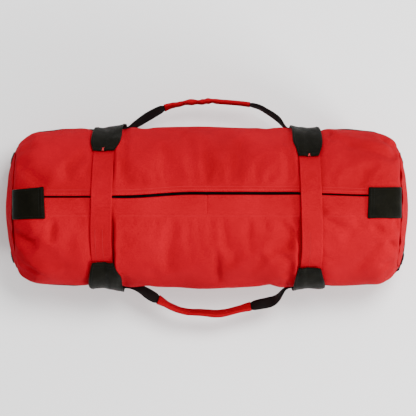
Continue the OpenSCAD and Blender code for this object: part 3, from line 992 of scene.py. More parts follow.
NYLON = woven("dark_nylon", (0.012, 0.012, 0.013), (0.03, 0.03, 0.033), pitch_mm=0.4, rough=0.5, sheen=0.1,
              bump_mm=0.12)
SAND = sand_grains("sand")


# ---- sizes of the cut parts and of the stitches ----

CANVAS_THICK = 1.9                         # doubled canvas: the straps and the fly
LEATHER_THICK = 1.8
BELT_THICK = 1.3
LOOP_THICK = 1.5
TAB_THICK = 1.7
# Stitches: (spacing, length, radius of the thread).
SLIT_STITCH = (3.6, 2.6, 0.34)
STRAP_STITCH = (3.0, 2.1, 0.42)
TAB_STITCH = (3.2, 2.3, 0.35)
PATCH_STITCH = (3.4, 2.4, 0.36)
BOX_STITCH = (3.2, 2.3, 0.36)


# ---- the canvas shell ----

def body_shell():
    """The wrapped panel, from the rear hem round the underside to the fly's stitch line."""
    xs = XS[:, None]
    hem = turn_at(xs, slit_y(xs) + slit_w(xs) / 2)
    stitch = turn_at(xs, FLY_Y) - 360
    us = np.concatenate([[0, 0.002, 0.004, 0.008], np.linspace(0, 1, 151)[2:-2], [0.994, 0.998, 1]])[None, :]
    round_ = canvas(xs, mix(hem, stitch, us))
    # both edges turn down: into the slit, and under the fly
    curls = [canvas(xs, hem + a, d)[:, 0] for a, d in ((-4.5, -1.7), (-0.5, -1.7), (0.0, -1.4), (0.12, -0.7))]
    under = [canvas(xs, stitch - a, d)[:, 0] for a, d in ((0.12, -0.35), (0.06, -1.6))]
    points = np.concatenate([np.stack(curls, 1), round_, np.stack(under, 1)], 1)

    def tucked(end):
        """The raw edge at one end, turned into the seam."""
        edge = points[0 if end < 0 else -1]
        centre = np.array([edge[:, 0].mean(), 0, LIFT + MID_Z])
        inward = centre - edge
        inward[:, 0] = 0
        inward /= np.linalg.norm(inward, axis=1, keepdims=True)
        out = np.array([end, 0, 0])
        return np.array([edge + inward * a + out * b for a, b in ((1.4, 1.1), (4.5, 1.0), (8, 0.2))])

    points = np.concatenate([tucked(-1)[::-1], points, tucked(1)])
    shell = grid_piece("bag_shell", points, CANVAS, "bag", subdivide=1)
    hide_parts("body_panel")


def end_panel(end):
    """Round panel that bulges past its seam, gathered along it. Its rim turns in behind the shell's edge."""
    edge, rows = panel_rows(end)
    top = near_turn(TS, 90, 40)[:, None]
    inward = CENTRE - edge
    inward[:, 0] = 0
    inward /= np.linalg.norm(inward, axis=1, keepdims=True)
    rows[0] += inward * (0.8 + 2.6 * top) - np.array([end * 0.4, 0, 0])
    rows[1] += inward * 0.8 * top
    tucked = [rows[0] + inward * a - np.array([end * b, 0, 0]) for a, b in ((7, 2.4), (4, 1.6), (1.2, 0.7))]
    points = np.concatenate([tucked, rows])
    if end > 0:
        points = points[:, ::-1]
    cover = grid_piece(f"{END_NAME[end]}_end_panel_cover", points, CANVAS, None, wrap=True)
    close_pole(cover, len(points), TURNS)
    add_subdivision(cover, 1)
    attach(cover, "bag")
    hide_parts(f"{END_NAME[end]}_end_panel")
    # its weave runs straight across it, not round it
    for loop, item in zip(cover.data.loops, cover.data.uv_layers["cloth"].data):
        place = cover.data.vertices[loop.vertex_index].co
        item.uv = (place.y, place.z)


def seam_binding(end):
    """Tape over the raw edges, inside the end seam."""
    far, near = end * (SEAM_X - 14), end * (SEAM_X - 3)
    outline = ((far, -2.4), (near, -2.4), (near, -3.4), (far, -3.4), (far, -2.4))
    rows = [canvas(np.full(TURNS, x), TS, d) for x, d in outline]
    tape = grid_piece(f"{END_NAME[end]}_binding_tape", np.array(rows), WEBBING, "bag", wrap=True)
    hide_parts(f"{END_NAME[end]}_seam_binding")


def fly_half(end):
    """Half of the lip over the zip, from its stitch line to the edge of the slit."""
    stations = XS[XS <= 0.1] if end < 0 else XS[XS >= -0.1]
    xs = stations[:, None]
    us = edged(9, 0.06)[None, :]
    ys = mix(FLY_Y - 0.5, slit_y(xs) - slit_w(xs) / 2, us)
    points = canvas(xs, turn_at(xs, ys), -CANVAS_THICK)
    thick = CANVAS_THICK - 0.12 * (us < 0.05) + 0 * xs
    lip = slab_piece(f"fly_{END_NAME[end]}", points, thick, (0, 0, 1), CANVAS, None, bulge=0.2)
    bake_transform(lip)
    if end < 0:
        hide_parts("left_fly", "middle_fly")
    else:
        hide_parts("right_fly")


def shell_stitching():
    """Rows of red thread beside the slit."""
    thread = Thread()
    xs = np.linspace(-250, 250, 200)
    for ys in (FLY_Y - 3.0, slit_y(xs) + 5.8, slit_y(xs) + 10.8):
        ts = turn_at(xs, ys)
        thread.run(canvas(xs, ts, 0.05), canvas(xs, ts, 1) - canvas(xs, ts, 0), *SLIT_STITCH, lift=0.0)
    seam = thread.finish("slit_stitching", CANVAS_THREAD, "bag")


# ---- zip tabs ----

# Inner corners of each tab, (distance from the bag's middle, y): the rear one and the front one.
TAB_EDGE = {-1: ((253.3, 31.9), (251.0, -17.2)), 1: ((251.0, 30.6), (249.4, -15.6))}


def zip_tab(end):
    """Leather square over the zip's end, with its inner edge folded and stitched."""
    inner_rear, inner_front = TAB_EDGE[end]
    outer = SEAM_X + 0.3
    us, vs = edged(14, 0.04), edged(14, 0.04)
    rows = []
    for u in us:
        y_rear, y_front = mix(inner_rear[1], 29 + end * 2, u), mix(inner_front[1], -18 + (end > 0) * 2, u)
        ys = mix(y_rear, y_front, vs) + 0.5 * np.sin(vs * np.pi * 3 + end) * (1 - u)
        xs = mix(mix(inner_rear[0], inner_front[0], vs), outer, u)
        swell = 0.7 * np.sin(np.pi * vs) * np.sin(np.pi * u)
        rows.append(canvas(end * xs, turn_at(end * xs, ys), 0.5 + swell))
    # its outer edge turns down into the end seam
    for out, depth in ((1.5, 0.1), (2.2, -1.4), (2.3, -3.6)):
        rows.append(canvas(end * SEAM_X, turn_at(end * SEAM_X, ys), depth) + np.array([end * out, 0, 0]))
    us = np.concatenate([us, [1, 1, 1]])
    points = np.array(rows)
    fold = 1 - ease((us - 0.12) / 0.03)
    thick = TAB_THICK + 0.9 * fold[:, None] + 0 * vs[None, :]
    thick[-3:] = [[1.2], [0.9], [0.7]]
    tab = slab_piece(f"{END_NAME[end]}_tab_leather", points, thick, (0, 0, 1), LEATHER, "bag")
    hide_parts(f"{END_NAME[end]}_zip_tab")
    n = facing(points, (0, 0, 1))
    top = points + n * (thick + 0.1)[..., None]
    thread = Thread()
    for j, inside in ((1, 2), (-2, -3)):
        thread.run(mix(top[:-3, j], top[:-3, inside], 0.75), n[:-3, j], *TAB_STITCH)
    for share in (0.07, 0.16):
        i = np.interp(share, us, np.arange(len(us)))
        k, w = int(i), i - int(i)
        thread.run(mix(top[k], top[k + 1], w)[1:-1], n[k][1:-1], *TAB_STITCH)
    stitched = thread.finish(f"{END_NAME[end]}_tab_stitching", BLACK_THREAD, "bag")


# ---- harness ----

# Plan x of each top strap's middle at these shares of its way from the rear patch to the front one.
STRAP_MARKS = (0, 0.42, 0.75, 1)
STRAP_LINE = {-1: (-160.8, -163.2, -164.9, -163.6), 1: (159.5, 161.6, 163.7, 162.0)}
# Turns at which the straps come out of their patches.
PATCH_REAR, PATCH_FRONT = {-1: 44.5, 1: 50.0}, {-1: 133.1, 1: 139.1}
# Rows of stitches down the front half of each strap, as distances from its middle.
STRAP_ROWS = {-1: (-7.0, 2.4), 1: (-2.4,)}


def top_strap(end):
    """Free strap over the zip, in a rear and a front half that bow up together at its crown."""
    first, last = PATCH_REAR[end] - 4, PATCH_FRONT[end] + 4
    crown_t = 90.0
    body = f"{END_NAME[end]}_strap"
    inner = -end                                         # side of the strap towards the bag's middle
    course = [(share, np.interp(share, STRAP_MARKS, STRAP_LINE[end])) for share in (0, 0.3, 0.5, 0.75, 1)]
    course = smooth_through(course, 60)
    across = (edged(8, 0.05)[None, :] - 0.5) * 2
    for part, t0, t1 in (("rear", first, crown_t), ("front", crown_t, last)):
        ts = mix(t0, t1, np.linspace(0, 1, 26))[:, None]
        centre = np.interp((ts - first) / (last - first), course[:, 0], course[:, 1])
        xs = centre + across * STRAP_W / 2
        free = np.sin(np.pi * np.clip((ts - first - 3) / (last - first - 6), 0, 1))
        # it stands off the bag, more along its inner edge and on the front half
        tilt = (0.5 + 0.5 * across * inner) * (2.6 + 1.6 * ease((ts - 92) / 30) * (1 - ease((ts - 128) / 12)))
        curl = 0.4 * np.abs(across) ** 6
        ds = 0.6 + free * (2.6 + tilt) + curl + 0.3 * np.sin(ts / 7.0 + across * 1.5) * free
        points = laid(xs, ts, ds, 5, centre)
        half = slab_piece(f"{body}_{part}", points, CANVAS_THICK, (0, 0, 1), CANVAS, None)
        float(lengths(points, 0)[-1]) * MM
        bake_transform(half)
        if part == "rear":
            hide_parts(f"{END_NAME[end]}_top_strap")
    # rows of thread down the middle of the front half, up to the zip
    n = facing(points, (0, 0, 1))
    top = points + n * (CANVAS_THICK + 0.05)
    thread = Thread()
    columns = np.linspace(-1, 1, points.shape[1])
    for offset in STRAP_ROWS[end]:
        j = int(np.searchsorted(columns, offset * 2 / STRAP_W)) - 1
        w = (offset * 2 / STRAP_W - columns[j]) / (columns[j + 1] - columns[j])
        thread.run(mix(top[:, j], top[:, j + 1], w)[8:], n[8:, j], *STRAP_STITCH)
    sewn = thread.finish(f"{body}_stitching", STRAP_THREAD, None)
    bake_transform(sewn)


def girth_strap(end):
    """Strap round the side and the underside, between the patches."""
    ts = np.linspace(PATCH_REAR[end] - 3, PATCH_FRONT[end] + 3 - 360, 110)[:, None]
    vs = edged(6, 0.05)[None, :]
    xs = STRAP_X[end] + (vs - 0.5) * STRAP_W + 0 * ts
    points = canvas(xs, ts, 0.35)
    underneath = np.sin(np.radians(ts)) < -0.86
    points[..., 2] = np.where(underneath, np.maximum(points[..., 2], 0.05), points[..., 2])
    out = points - CENTRE
    n = facing(points, (0, 0, 1))
    out[..., 0] = 0
    n = np.where(np.sum(n * out, -1, keepdims=True) < 0, -n, n)
    strap = thick_around(f"{END_NAME[end]}_girth_band", points, n, CANVAS_THICK, CANVAS, "bag")
    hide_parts(f"{END_NAME[end]}_girth_strap")


# Each patch's outline in plan: (share of the way down, edge towards the tab, edge towards the handle),
# as distances from the strap's middle, measured outwards along the bag and inwards to the handle.
PATCH_SHAPE = {
    (-1, False): ((0, 16.8, 16.8), (0.08, 19.5, 22.6), (0.14, 20.7, 24.5), (0.28, 19.2, 27.3),
                  (0.5, 16.2, 29.7), (0.6, 14.5, 33.0), (1, 18, 32)),
    (1, False): ((0, 14.7, 16.4), (0.11, 19.6, 21.5), (0.2, 20.9, 24.2), (0.38, 19.5, 24.9),
                 (0.62, 16.7, 27.6), (1, 18, 29)),
    (-1, True): ((0, 15.6, 17.1), (0.11, 18.6, 23.9), (0.22, 20.7, 29.1), (0.38, 22.1, 30.9),
                 (0.61, 20, 33), (1, 18, 31)),
    (1, True): ((0, 16, 17.3), (0.1, 18.5, 20.9), (0.31, 23, 24), (0.58, 24, 26), (1, 20, 28)),
}
PATCH_FOOT = -30.0                         # turn of each patch's lower edge


def patch(end, front):
    """Leather patch sewn over the strap where it turns down over the side, and over the handle's root."""
    top_t = PATCH_FRONT[end] if front else PATCH_REAR[end]
    first = 180 - top_t if front else top_t
    us = np.concatenate([[0, 0.015], np.linspace(0, 1, 25)[1:-1], [0.985, 1]])
    vs = edged(12, 0.04)
    curve = smooth_through(PATCH_SHAPE[(end, front)], 80)
    outer = np.interp(us, curve[:, 0], curve[:, 1])
    inner = np.interp(us, curve[:, 0], curve[:, 2])
    middle = STRAP_LINE[end][-1 if front else 0]
    stand_off = 4.2 if front else 2.0
    rows = []
    for u, o, i in zip(us, outer, inner):
        t = mix(first, PATCH_FOOT, u)
        t = 180 - t if front else t
        xs = middle + end * mix(o, -i, vs)
        away = np.abs(mix(o, -i, vs))
        # thick over the strap and over the handle's root, lifted along the edge towards the handle
        rise = 2.7 + stand_off * ease(u / 0.42) * ease((1 - u) / 0.2)
        # it hugs the canvas where it reaches past the strap
        beyond = ease((away - STRAP_W / 2) / 14) * (1 - ease((u - 0.25) / 0.25) * ease((vs - 0.5) * 4))
        bump = 0.45 * np.sin(vs * 5 + u * 9 + end) * ease(u / 0.1)
        lip = 0.7 * (1 - ease(u / 0.05)) * (1 - beyond)
        rows.append(laid(xs, t, rise * (1 - 0.75 * beyond) + 0.6 + bump * (1 - beyond) + lip, 12))
    points = np.array(rows)
    outward = (0, -1 if front else 1, 0.4)
    name = f"{END_NAME[end]}_{FACE_NAME[front]}"
    made = slab_piece(name + "_leather", points, LEATHER_THICK, outward, LEATHER, "bag")
    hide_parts(name + "_patch")
    n = facing(points, outward)
    top = points + n * (LEATHER_THICK + 0.05)
    thread = Thread()
    for j, inside in ((1, 2), (-2, -3)):
        thread.run(mix(top[:, j], top[:, inside], 0.6)[1:], n[1:, j], *PATCH_STITCH)
    thread.run(top[-3], n[-3], *PATCH_STITCH)
    thread.run(mix(top[2], top[3], 0.5)[1:-1], n[2][1:-1], *PATCH_STITCH)
    # two short rows hold the handle's root
    for share in (0.42, 0.72):
        a = int(len(us) * share)
        thread.run(top[a, [3, -6]], n[a, [3, -6]], *PATCH_STITCH)
    sewn = thread.finish(name + "_patch_stitching", BLACK_THREAD, "bag")


def loose_threads():
    """Red thread tails at the free ends of the rear patches."""
    tails = []
    for end, x, size in ((-1, -163.5, 1.0), (1, 158.0, 0.7)):
        t = PATCH_REAR[end]
        p = canvas(x, t, 6.3)
        step = canvas(x, t - 2, 6.3) - p
        up = canvas(x, t, 7.3) - p
        along = np.array([1.0, 0, 0])
        for bend, start in ((1.0, 0), (-0.6, 2.4)):
            origin = p + along * start - step * 0.3
            route = [origin,
                     origin + step * 0.5 * size + up * 0.8 + along * bend * 0.4,
                     origin + step * 1.2 * size + up * 0.9 + along * bend * 1.5,
                     origin + step * 1.7 * size + up * 0.3 + along * bend * 3.4 * size]
            tails.append(smooth_through(route, 14))
    for k, line in enumerate(tails):
        wide = np.tile([0.0, 0.3, 1.0], (len(line), 1))
        tail = sweep_piece(f"thread_tail_{k + 1}", line, wide, 0.4, 0.4, RED_THREAD, "bag", sides=8,
                           power=2.0, subdivide=0)


# ---- side webbing ----

# The webbing's course round the end seam: (distance in from the seam, height above the end panel, rise).
BELT_TURN = ((0.1, -1.2, 0), (0.8, -0.6, 0.4), (2.2, 0, 1.2), (5.5, 0.3, 3.0), (9, 0.6, 5.2), (13, 1.5, 7.8),
             (20, 1.7, 12), (26, 1.7, 15.5))


def belt(end, front):
    """Webbing along the side, from under the patch round the end seam."""
    start = abs(STRAP_X[end]) - STRAP_W / 2 - 2
    straight = 46                                        # stations before the turn
    xs = np.concatenate([np.linspace(start, SEAM_X - 1, straight), np.full(len(BELT_TURN), SEAM_X)])[:, None]
    vs = edged(7, 0.05)[None, :]
    at, reach = BELT_SHOWS[(end, front)]
    ts = -5.0 + 3.0 * np.exp(-((xs - at) / (reach + 14)) ** 2) - 5.5 * ease((xs - 262) / 32) - 9.5 * vs
    over = 0.2 + 2.4 * ease((STRAP_W / 2 + 9 - np.abs(xs - abs(STRAP_X[end]))) / 8)
    over = over + 0.5 * np.sin(xs / 13.0) * ease((xs - 200) / 20) * (vs - 0.5)
    points = canvas(end * xs, 180 - ts if front else ts, over)
    # past the seam it turns on to the end panel, where the end handle is sewn to it
    inward = 1 if front else -1
    for k, (go, up, rise) in enumerate(BELT_TURN):
        for j, last in enumerate(points[straight - 1]):
            z = last[2] + rise
            out = panel_x(end, last[1] + inward * max(go, 2.5), z) + up
            points[straight + k, j] = end * out, last[1] + inward * go, z
    n = np.cross(np.gradient(points, axis=0), np.gradient(points, axis=1))
    n /= np.linalg.norm(n, axis=-1, keepdims=True)
    if n[:straight, :, 1].mean() * inward > 0:
        n = -n
    name = f"{END_NAME[end]}_{FACE_NAME[front]}"
    made = thick_around(name + "_webbing", points, n, BELT_THICK, WEBBING, "bag")
    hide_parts(name + "_belt")
    # a sewn box with a cross holds the end handle's root under it
    top = points + n * (BELT_THICK + 0.1)
    first, last, low, high = straight + 4, len(points) - 2, 1, -2
    corners = [(first, low), (first, high), (last, high), (last, low), (first, low), (last, high)]
    thread = Thread()
    for (i, j), (k, m) in list(zip(corners, corners[1:])) + [((first, high), (last, low))]:
        line = np.linspace(top[i, j], top[k, m], 9)
        line[:, 0] = [end * (panel_x(end, y, z) + BELT_TURN[-1][1] + BELT_THICK + 0.05) for _, y, z in line]
        thread.run(line, np.tile([end, 0, 0], (9, 1)), *BOX_STITCH)
    sewn = thread.finish(name + "_webbing_stitching", BLACK_THREAD, "bag")


# ---- side handles ----

# Course of the rear and the front handle:
# (x, reach from its roots' axis, turn of the webbing from upright in degrees).
HANDLE_COURSE = {
    False: ((-141, -2.6, 0), (-127, -2.0, 14), (-113, 5.5, 34), (-105, 11, 42), (-95, 18, 44),
            (-77, 28.8, 38), (-62, 35.5, 22), (-48, 39.4, 12), (-20, 43.3, 12), (2, 45, 10), (28, 43.4, 10),
            (56, 40.8, 10), (75, 37.5, 14), (86, 33.5, 18), (95, 27.8, 20), (105, 21, 22), (115, 12.5, 22),
            (123, 2, 10), (130, -2.4, 0), (141, -2.6, 0)),
    True: ((-141, -1, 0), (-121, -0.8, 6), (-107, 1.5, 40), (-96, 8.8, 58), (-86, 15.2, 58), (-77, 20.4, 46),
           (-67, 26.5, 26), (-58, 32, 20), (-44, 38, 18), (-29, 41.4, 20), (-8, 42.4, 22), (14, 44.4, 24),
           (30, 42.6, 24), (50, 37, 26), (70, 31.6, 40), (85, 27.9, 60), (97, 25.4, 62), (107, 21.6, 46),
           (115, 14.6, 28), (123, 3.4, 12), (131, -0.8, 0), (141, -1, 0)),
}


def handle_line(front, count):
    """Middle line of a carrying handle, and the long direction of its section."""
    course = smooth_through(HANDLE_COURSE[front], count)
    x, reach, tilt = course[:, 0], course[:, 1], np.radians(course[:, 2])
    way = -1 if front else 1
    droop = np.radians(DROOP)
    centres = np.stack([x, way * (AXIS_Y + reach * np.cos(droop)), AXIS_Z - reach * np.sin(droop)], 1)
    wide = np.stack([0 * x, way * np.sin(tilt), np.cos(tilt)], 1)
    return centres, wide


def side_handle(front):
    """Carrying handle: webbing that bends at its sewn roots, with a red sleeve round the grip."""
    name = FACE_NAME[front]
    body = f"{name}_handle"
    centres, wide = handle_line(front, 181)
    x = centres[:, 0]
    along = np.abs(x + (4 if front else 0))
    held = 74 if front else 69                           # half the sleeve's length
    in_sleeve = 1 - ease((along - held + 3) / 8)
    half = 9.6 - 4.0 * ease((np.abs(x - 2) - 112) / 22) + 0.4 * np.sin(x / 8.0) - 2.6 * in_sleeve
    thick = 2.5 - 0.8 * ease((np.abs(x) - 116) / 12) - 1.0 * in_sleeve
    grip = along < held
    grip_low, grip_high = x[grip].min(), x[grip].max()
    cut, overlap = 98, 2
    parts = (("left", x <= -cut + overlap), ("middle", np.abs(x) <= cut + overlap),
             ("right", x >= cut - overlap))
    for part, keep in parts:
        made = sweep_piece(f"{body}_{part}", centres[keep], wide[keep], half[keep], thick[keep], WEBBING,
                           body if part == "middle" else None, sides=18, power=4)
        if part == "middle":
            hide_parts(f"{body}_webbing")
        else:
            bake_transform(made)
    # the red sleeve round the grip
    inside = (x >= grip_low - 0.5) & (x <= grip_high + 0.5)
    line, gx = centres[inside], x[inside]
    if front:
        half = 9.8 + 0.3 * np.sin(gx / 17 + 1)
        thick = 3.7 + 0.25 * np.sin(gx / 11) + 0.12 * np.sin(gx / 3.1)
    else:
        # the rear one has slipped and bunched up
        bunch = ease((42 - np.abs(gx + 18)) / 22)
        crumple = np.sin(gx / 2.3 + 1.4 * np.sin(gx / 9)) * 0.75 + np.sin(gx / 4.1 + 2) * 0.55
        half = 9.2 + bunch * (0.8 * np.sin(gx / 2.9 + 1) + 0.5)
        thick = 3.3 + bunch * crumple
        line = line + bunch[:, None] * np.stack([0 * gx, 0.9 * np.sin(gx / 6.5), 0.7 * np.sin(gx / 5.1)], 1)
    sleeve = sweep_piece(f"{name}_grip_sleeve", line, wide[inside], half, thick, SHADED_SLEEVE, body, sides=26,
                         power=3.2, hollow=0.9)
    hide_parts(f"{body}_sleeve")


# ---- end handles ----

def end_handle(end):
    """Webbing loop across the end panel. Its ends are sewn under the side webbing, and it droops between."""
    name = END_NAME[end]
    body = f"{name}_handle"
    low, high = corner_mm(f"{name}_end_handle")
    root_y = float(high[1])
    half = 11.5
    lowest = float(low[2]) + half + 1.5
    root_z = LIFT + MID_Z - 17
    reach = root_y + 8
    ys = np.linspace(-reach, reach, 75)
    zs = lowest + (root_z - lowest) * ease(np.abs(ys) / reach)
    # it lies against the panel, and leans with it
    upper = np.array([panel_x(end, y, z + half) for y, z in zip(ys, zs)])
    middle = np.array([panel_x(end, y, z) for y, z in zip(ys, zs)])
    under = np.array([panel_x(end, y, z - half) for y, z in zip(ys, zs)])
    xs = np.maximum(middle, (upper + under) / 2) + 0.9 + 0.8 * ease((root_y - 6 - np.abs(ys)) / 22)
    xs = np.convolve(np.pad(xs, 2, mode="edge"), np.ones(5) / 5, "valid")
    centres = np.stack([end * xs, ys, zs], 1)
    wide = np.stack([end * (upper - under), 0 * ys, 0 * ys + 2 * half], 1)
    sewn, free = root_y + 1, root_y - 22
    overlap = 2
    parts = (("front", ys <= -free + overlap), ("middle", np.abs(ys) <= free + overlap),
             ("rear", ys >= free - overlap))
    for part, keep in parts:
        band = sweep_piece(f"{name}_end_loop_{part}", centres[keep], wide[keep], half, LOOP_THICK / 2,
                           WEBBING, body if part == "middle" else None, sides=16, power=6)
        if part == "middle":
            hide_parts(f"{name}_end_handle")
        else:
            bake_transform(band)


# ---- zip ----

SLIDER_X = 234.0
STOP_X = 245.0
COIL_PITCH, COIL_REACH = 2.6, 246.0


def zip_frame():
    """Middle of the chain's top at x = 0, and the directions across and away from the bag."""
    t = np.radians(turn_at(0.0, ZIP_Y))
    depth = -9.6
    origin = np.array([0, (side(0.0) + depth) * np.cos(t), LIFT + MID_Z + (CROWN + depth) * np.sin(t)])
    up = np.array([0, np.cos(t), np.sin(t)])
    across = np.array([0, np.sin(t), -np.cos(t)])
    return origin, across, up


ZIP_ORIGIN, ZIP_ACROSS, ZIP_UP = zip_frame()


def in_zip(points):
    """Points given along the zip, across it and up from it."""
    p = np.asarray(points, float)
    return ZIP_ORIGIN + np.array([1.0, 0, 0]) * p[..., :1] + ZIP_ACROSS * p[..., 1:2] + ZIP_UP * p[..., 2:3]


def zip_coil():
    """Two rows of interlocked coil teeth."""
    turn = [(-0.35, 3.3, -0.9), (-0.35, 1.6, -0.25), (0, 0.45, -0.35), (0.35, 1.6, -0.25),
            (0.35, 3.3, -0.9), (0.35, 1.8, -1.6), (0, 0.5, -1.4), (-0.35, 1.8, -1.6)]
    section = ((-0.4, 0), (0, 0.4), (0.4, 0), (0, -0.4))
    sides, count = len(section), len(turn)
    verts, faces = [], []
    for way in (-1, 1):
        for k in range(int(2 * COIL_REACH / COIL_PITCH)):
            x = -COIL_REACH + k * COIL_PITCH + (COIL_PITCH / 2 if way > 0 else 0)
            base = len(verts)
            verts += [(x + a + dx, way * b, c + dz) for a, b, c in turn for dx, dz in section]
            for i in range(count):
                here, there = base + i * sides, base + (i + 1) % count * sides
                for j in range(sides):
                    k_next = (j + 1) % sides
                    faces.append((here + j, here + k_next, there + k_next, there + j))
    coil = piece("zip_coil", in_zip(verts), faces, COIL, "bag")
    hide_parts("front_zip_chain", "rear_zip_chain")


def zip_tape(front):
    """Woven tape from the teeth up to where it is sewn under the canvas."""
    way = -1 if front else 1
    reach = SEAM_X - 15
    xs = XS[np.abs(XS) < reach]
    by_teeth = ((1.9, -1.2), (3.6, -1.4), (6.4, -1.4))
    under_canvas = ((11, -5.6), (15.2, -2.9), (19, -2.8))
    low = [in_zip([[x, -way * step, drop] for x in xs]) for step, drop in by_teeth]
    high = [canvas(xs, turn_at(xs, ZIP_Y + way * step), drop) for step, drop in under_canvas]
    points = np.stack(low + high, 1)
    made = slab_piece(f"{FACE_NAME[front]}_zip_cloth", points, 0.7, (0, 0, 1), TAPE, "bag")
    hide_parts(f"{FACE_NAME[front]}_zip_tape")


def rounded_bar(x, y, z, bevel):
    """Points and faces of a box with bevelled edges, from its (low, high) along each axis."""
    mesh = bpy.data.meshes.new("bar")
    (x0, x1), (y0, y1), (z0, z1) = x, y, z
    corners = [(a, b, c) for a in (x0, x1) for b in (y0, y1) for c in (z0, z1)]
    faces = [(0, 1, 3, 2), (4, 6, 7, 5), (0, 4, 5, 1), (2, 3, 7, 6), (0, 2, 6, 4), (1, 5, 7, 3)]
    mesh.from_pydata(corners, [], faces)
    bm = bmesh.new()
    bm.from_mesh(mesh)
    bmesh.ops.bevel(bm, geom=bm.edges[:], offset=bevel, segments=3, profile=0.5, affect="EDGES")
    verts = [tuple(v.co) for v in bm.verts]
    found = [tuple(v.index for v in f.verts) for f in bm.faces]
    bm.free()
    bpy.data.meshes.remove(mesh)
    return verts, found


def merged(parts):
    """Several pairs of points and faces as one."""
    verts, faces = [], []
    for v, f in parts:
        base = len(verts)
        verts += list(v)
        faces += [tuple(base + i for i in face) for face in f]
    return verts, faces


def zip_hardware():
    """Slider with a bridge, its pull, and the stops."""
    x = SLIDER_X
    body = [rounded_bar((x - 7.5, x + 7.5), (-4.8, 4.8), (0.35, 1.6), 0.5),
            rounded_bar((x - 7.5, x + 7.5), (-4.8, 4.8), (-3.7, -2.5), 0.5),
            rounded_bar((x + 4, x + 7), (-0.4, 0.4), (-2.8, 0.8), 0.15),
            rounded_bar((x - 3.0, x - 1.4), (-3.9, 3.9), (3.9, 4.7), 0.3)]
    for way in (-1, 1):
        body.append(rounded_bar((x - 3, x + 3), (way * 3.9 - 0.6, way * 3.9 + 0.6), (1.3, 4.7), 0.4))
        body.append(rounded_bar((x - 7.2, x + 7.2), (way * 4.6 - 0.3, way * 4.6 + 0.3), (0.2, 1.2), 0.2))
    verts, faces = merged(body)
    slider = piece("slider_body", in_zip(verts), faces, METAL, "slider")
    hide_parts("zip_slider")
    # the pull: a flat tag with a window, and an eye on the slider's pin
    pin_z = 3.6
    deep = (pin_z - 0.6, pin_z + 0.6)
    tag = [rounded_bar((x - 24, x - 20.5), (-2.4, 2.4), deep, 0.4),
           rounded_bar((x - 15, x - 3.5), (-1.5, 1.5), (pin_z - 0.55, pin_z + 0.55), 0.35),
           rounded_bar((x - 4.2, x + 1.4), (-2.4, -1.3), deep, 0.35),
           rounded_bar((x - 4.2, x + 1.4), (1.3, 2.4), deep, 0.35),
           rounded_bar((x + 0.7, x + 1.7), (-2.4, 2.4), deep, 0.35)]
    for way in (-1, 1):
        tag.append(rounded_bar((x - 22, x - 13.5), (way * 1.9 - 0.5, way * 1.9 + 0.5), deep, 0.35))
    verts, faces = merged(tag)
    pull = piece("pull_tag", in_zip(verts), faces, METAL, "pull")
    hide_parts("zip_pull")
    stops = []
    for way in (-1, 1):
        middle = way * STOP_X
        stops.append(rounded_bar((middle - 1.5, middle + 1.5), (-3.2, 3.2), (0.3, 1.7), 0.5))
        stops.append(rounded_bar((middle - 1.1, middle + 1.1), (-3.4, -2.7), (-1.4, 1.2), 0.3))
        stops.append(rounded_bar((middle - 1.1, middle + 1.1), (2.7, 3.4), (-1.4, 1.2), 0.3))
    verts, faces = merged(stops)
    made = piece("zip_end_stops", in_zip(verts), faces, METAL, "bag")
    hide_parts("zip_stops")


# ---- inside ----

ROLL_REACH, ROLL_TURN, ROLL_DEPTH = 54.0, 122.0, 15.5    # half length, turn and depth of each closure


def filled_form(low_x, high_x, under, top_room, pinch, gathers):
    """Rings of a soft form that lies in the shell, this far under the canvas and drawn in at both ends."""
    shares = np.concatenate([[0], np.linspace(0, 1, 26), [1]])
    ts = np.arange(72) * 5.0
    rings = []
    for i, share in enumerate(shares):
        x = mix(low_x, high_x, share)
        end = abs(2 * share - 1)
        draw = 26 * (1 - np.sqrt(max(0, 1 - end ** 4)))
        if i in (0, len(shares) - 1):
            draw += pinch
        pucker = 1.2 * np.sin(np.radians(ts) * 17 + gathers) * end ** 8
        deep = under + top_room * ease(np.sin(np.radians(ts))) + draw + pucker
        rings.append(skin(x, ts, -deep) + canvas(x, ts) - skin(x, ts, 0))
    return np.array(rings)


def inner_bags():
    """Three sand bags that fill the shell, each with its rolled closure and the sand in it."""
    for k, name in enumerate(("left", "middle", "right")):
        low, high = corner_mm(f"{name}_filler_bag")
        form = filled_form(low[0] + 1, high[0] - 1, under=3.4, top_room=15, pinch=40, gathers=k * 2)
        bag = grid_piece(f"{name}_sand_bag", form, NYLON, "bag", wrap=True, subdivide=1)
        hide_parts(f"{name}_filler_bag")
        low, high = corner_mm(f"{name}_sand")
        form = filled_form(low[0] + 1, high[0] - 1, under=5.6, top_room=22, pinch=30, gathers=k * 2 + 1)
        sand = grid_piece(f"{name}_sand_fill", form, SAND, "bag", wrap=True, subdivide=1)
        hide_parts(f"{name}_sand")
        low, high = corner_mm(f"{name}_closure")
        us = np.linspace(-1, 1, 31)
        xs = (low[0] + high[0]) / 2 + us * ROLL_REACH
        sink = canvas(xs, ROLL_TURN) - skin(xs, ROLL_TURN, 0)
        centres = skin(xs, ROLL_TURN, -ROLL_DEPTH + 0.5 * np.sin(us * 9)) + sink
        wide = skin(xs, ROLL_TURN + 3, -ROLL_DEPTH) - skin(xs, ROLL_TURN - 3, -ROLL_DEPTH)
        half = 9.0 + 0.5 * np.sin(us * 14)
        roll = sweep_piece(f"{name}_roll_closure", centres, wide, half, 2.3, NYLON, "bag", power=2.6)
        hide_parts(f"{name}_closure")


# ---- stage, light and camera ----

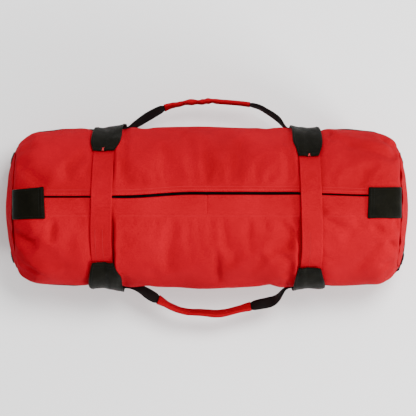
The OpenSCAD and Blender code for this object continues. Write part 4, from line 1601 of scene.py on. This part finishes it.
def studio():
    """Pale floor, soft light and the camera straight above the bag."""
    n = Nodes("pale_floor")
    n.link(n.remap(n.noise(n.place(), 3, 2), 0.3, 0.7, 0.9, 0.94), n.shader.inputs["Roughness"])
    n.set(Base_Color=(0.93, 0.93, 0.93, 1), Specular_IOR_Level=0.1)
    size = 6000
    floor = piece("floor", [(-size, -size, 0), (size, -size, 0), (size, size, 0), (-size, size, 0)],
                  [(0, 1, 2, 3)], n.material, None)
    world = bpy.data.worlds.new("studio")
    world.use_nodes = True
    background = world.node_tree.nodes["Background"]
    background.inputs["Color"].default_value = (1, 1, 1, 1)
    background.inputs["Strength"].default_value = 0.86
    bpy.context.scene.world = world

    def area(name, place, aim, size_m, power):
        light = bpy.data.lights.new(name, "AREA")
        light.shape = "RECTANGLE"
        light.size, light.size_y = size_m
        light.energy = power
        obj = bpy.data.objects.new(name, light)
        obj.location = place
        obj.rotation_euler = (Vector(aim) - Vector(place)).to_track_quat("-Z", "Y").to_euler()
        obj.visible_camera = False
        bpy.context.scene.collection.objects.link(obj)

    area("key", (2.1, -1.1, 1.0), (0, 0, 0.1), (0.8, 0.5), 78)
    area("overhead", (0.7, 0.9, 2.9), (0, 0, 0.1), (1.0, 1.0), 118)

    camera = bpy.data.cameras.new("camera")
    # the photo's middle is a little off the bag's
    aim_x, aim_y = 1.6, -0.6
    view_width, mid_height, distance = 657.3, 120.0, 4500.0
    camera.sensor_width = 36
    camera.lens = camera.sensor_width * distance / view_width
    eye = bpy.data.objects.new("camera", camera)
    eye.location = (aim_x * MM, aim_y * MM, (mid_height + distance) * MM)
    bpy.context.scene.collection.objects.link(eye)
    bpy.context.scene.camera = eye


body_shell()
for end in (-1, 1):
    end_panel(end)
    seam_binding(end)
    zip_tab(end)
    top_strap(end)
    girth_strap(end)
    end_handle(end)
    fly_half(end)
    for front in (False, True):
        patch(end, front)
        belt(end, front)
shell_stitching()
loose_threads()
for front in (False, True):
    side_handle(front)
zip_coil()
for front in (False, True):
    zip_tape(front)
zip_hardware()
inner_bags()
studio()

bpy.context.view_layer.update()
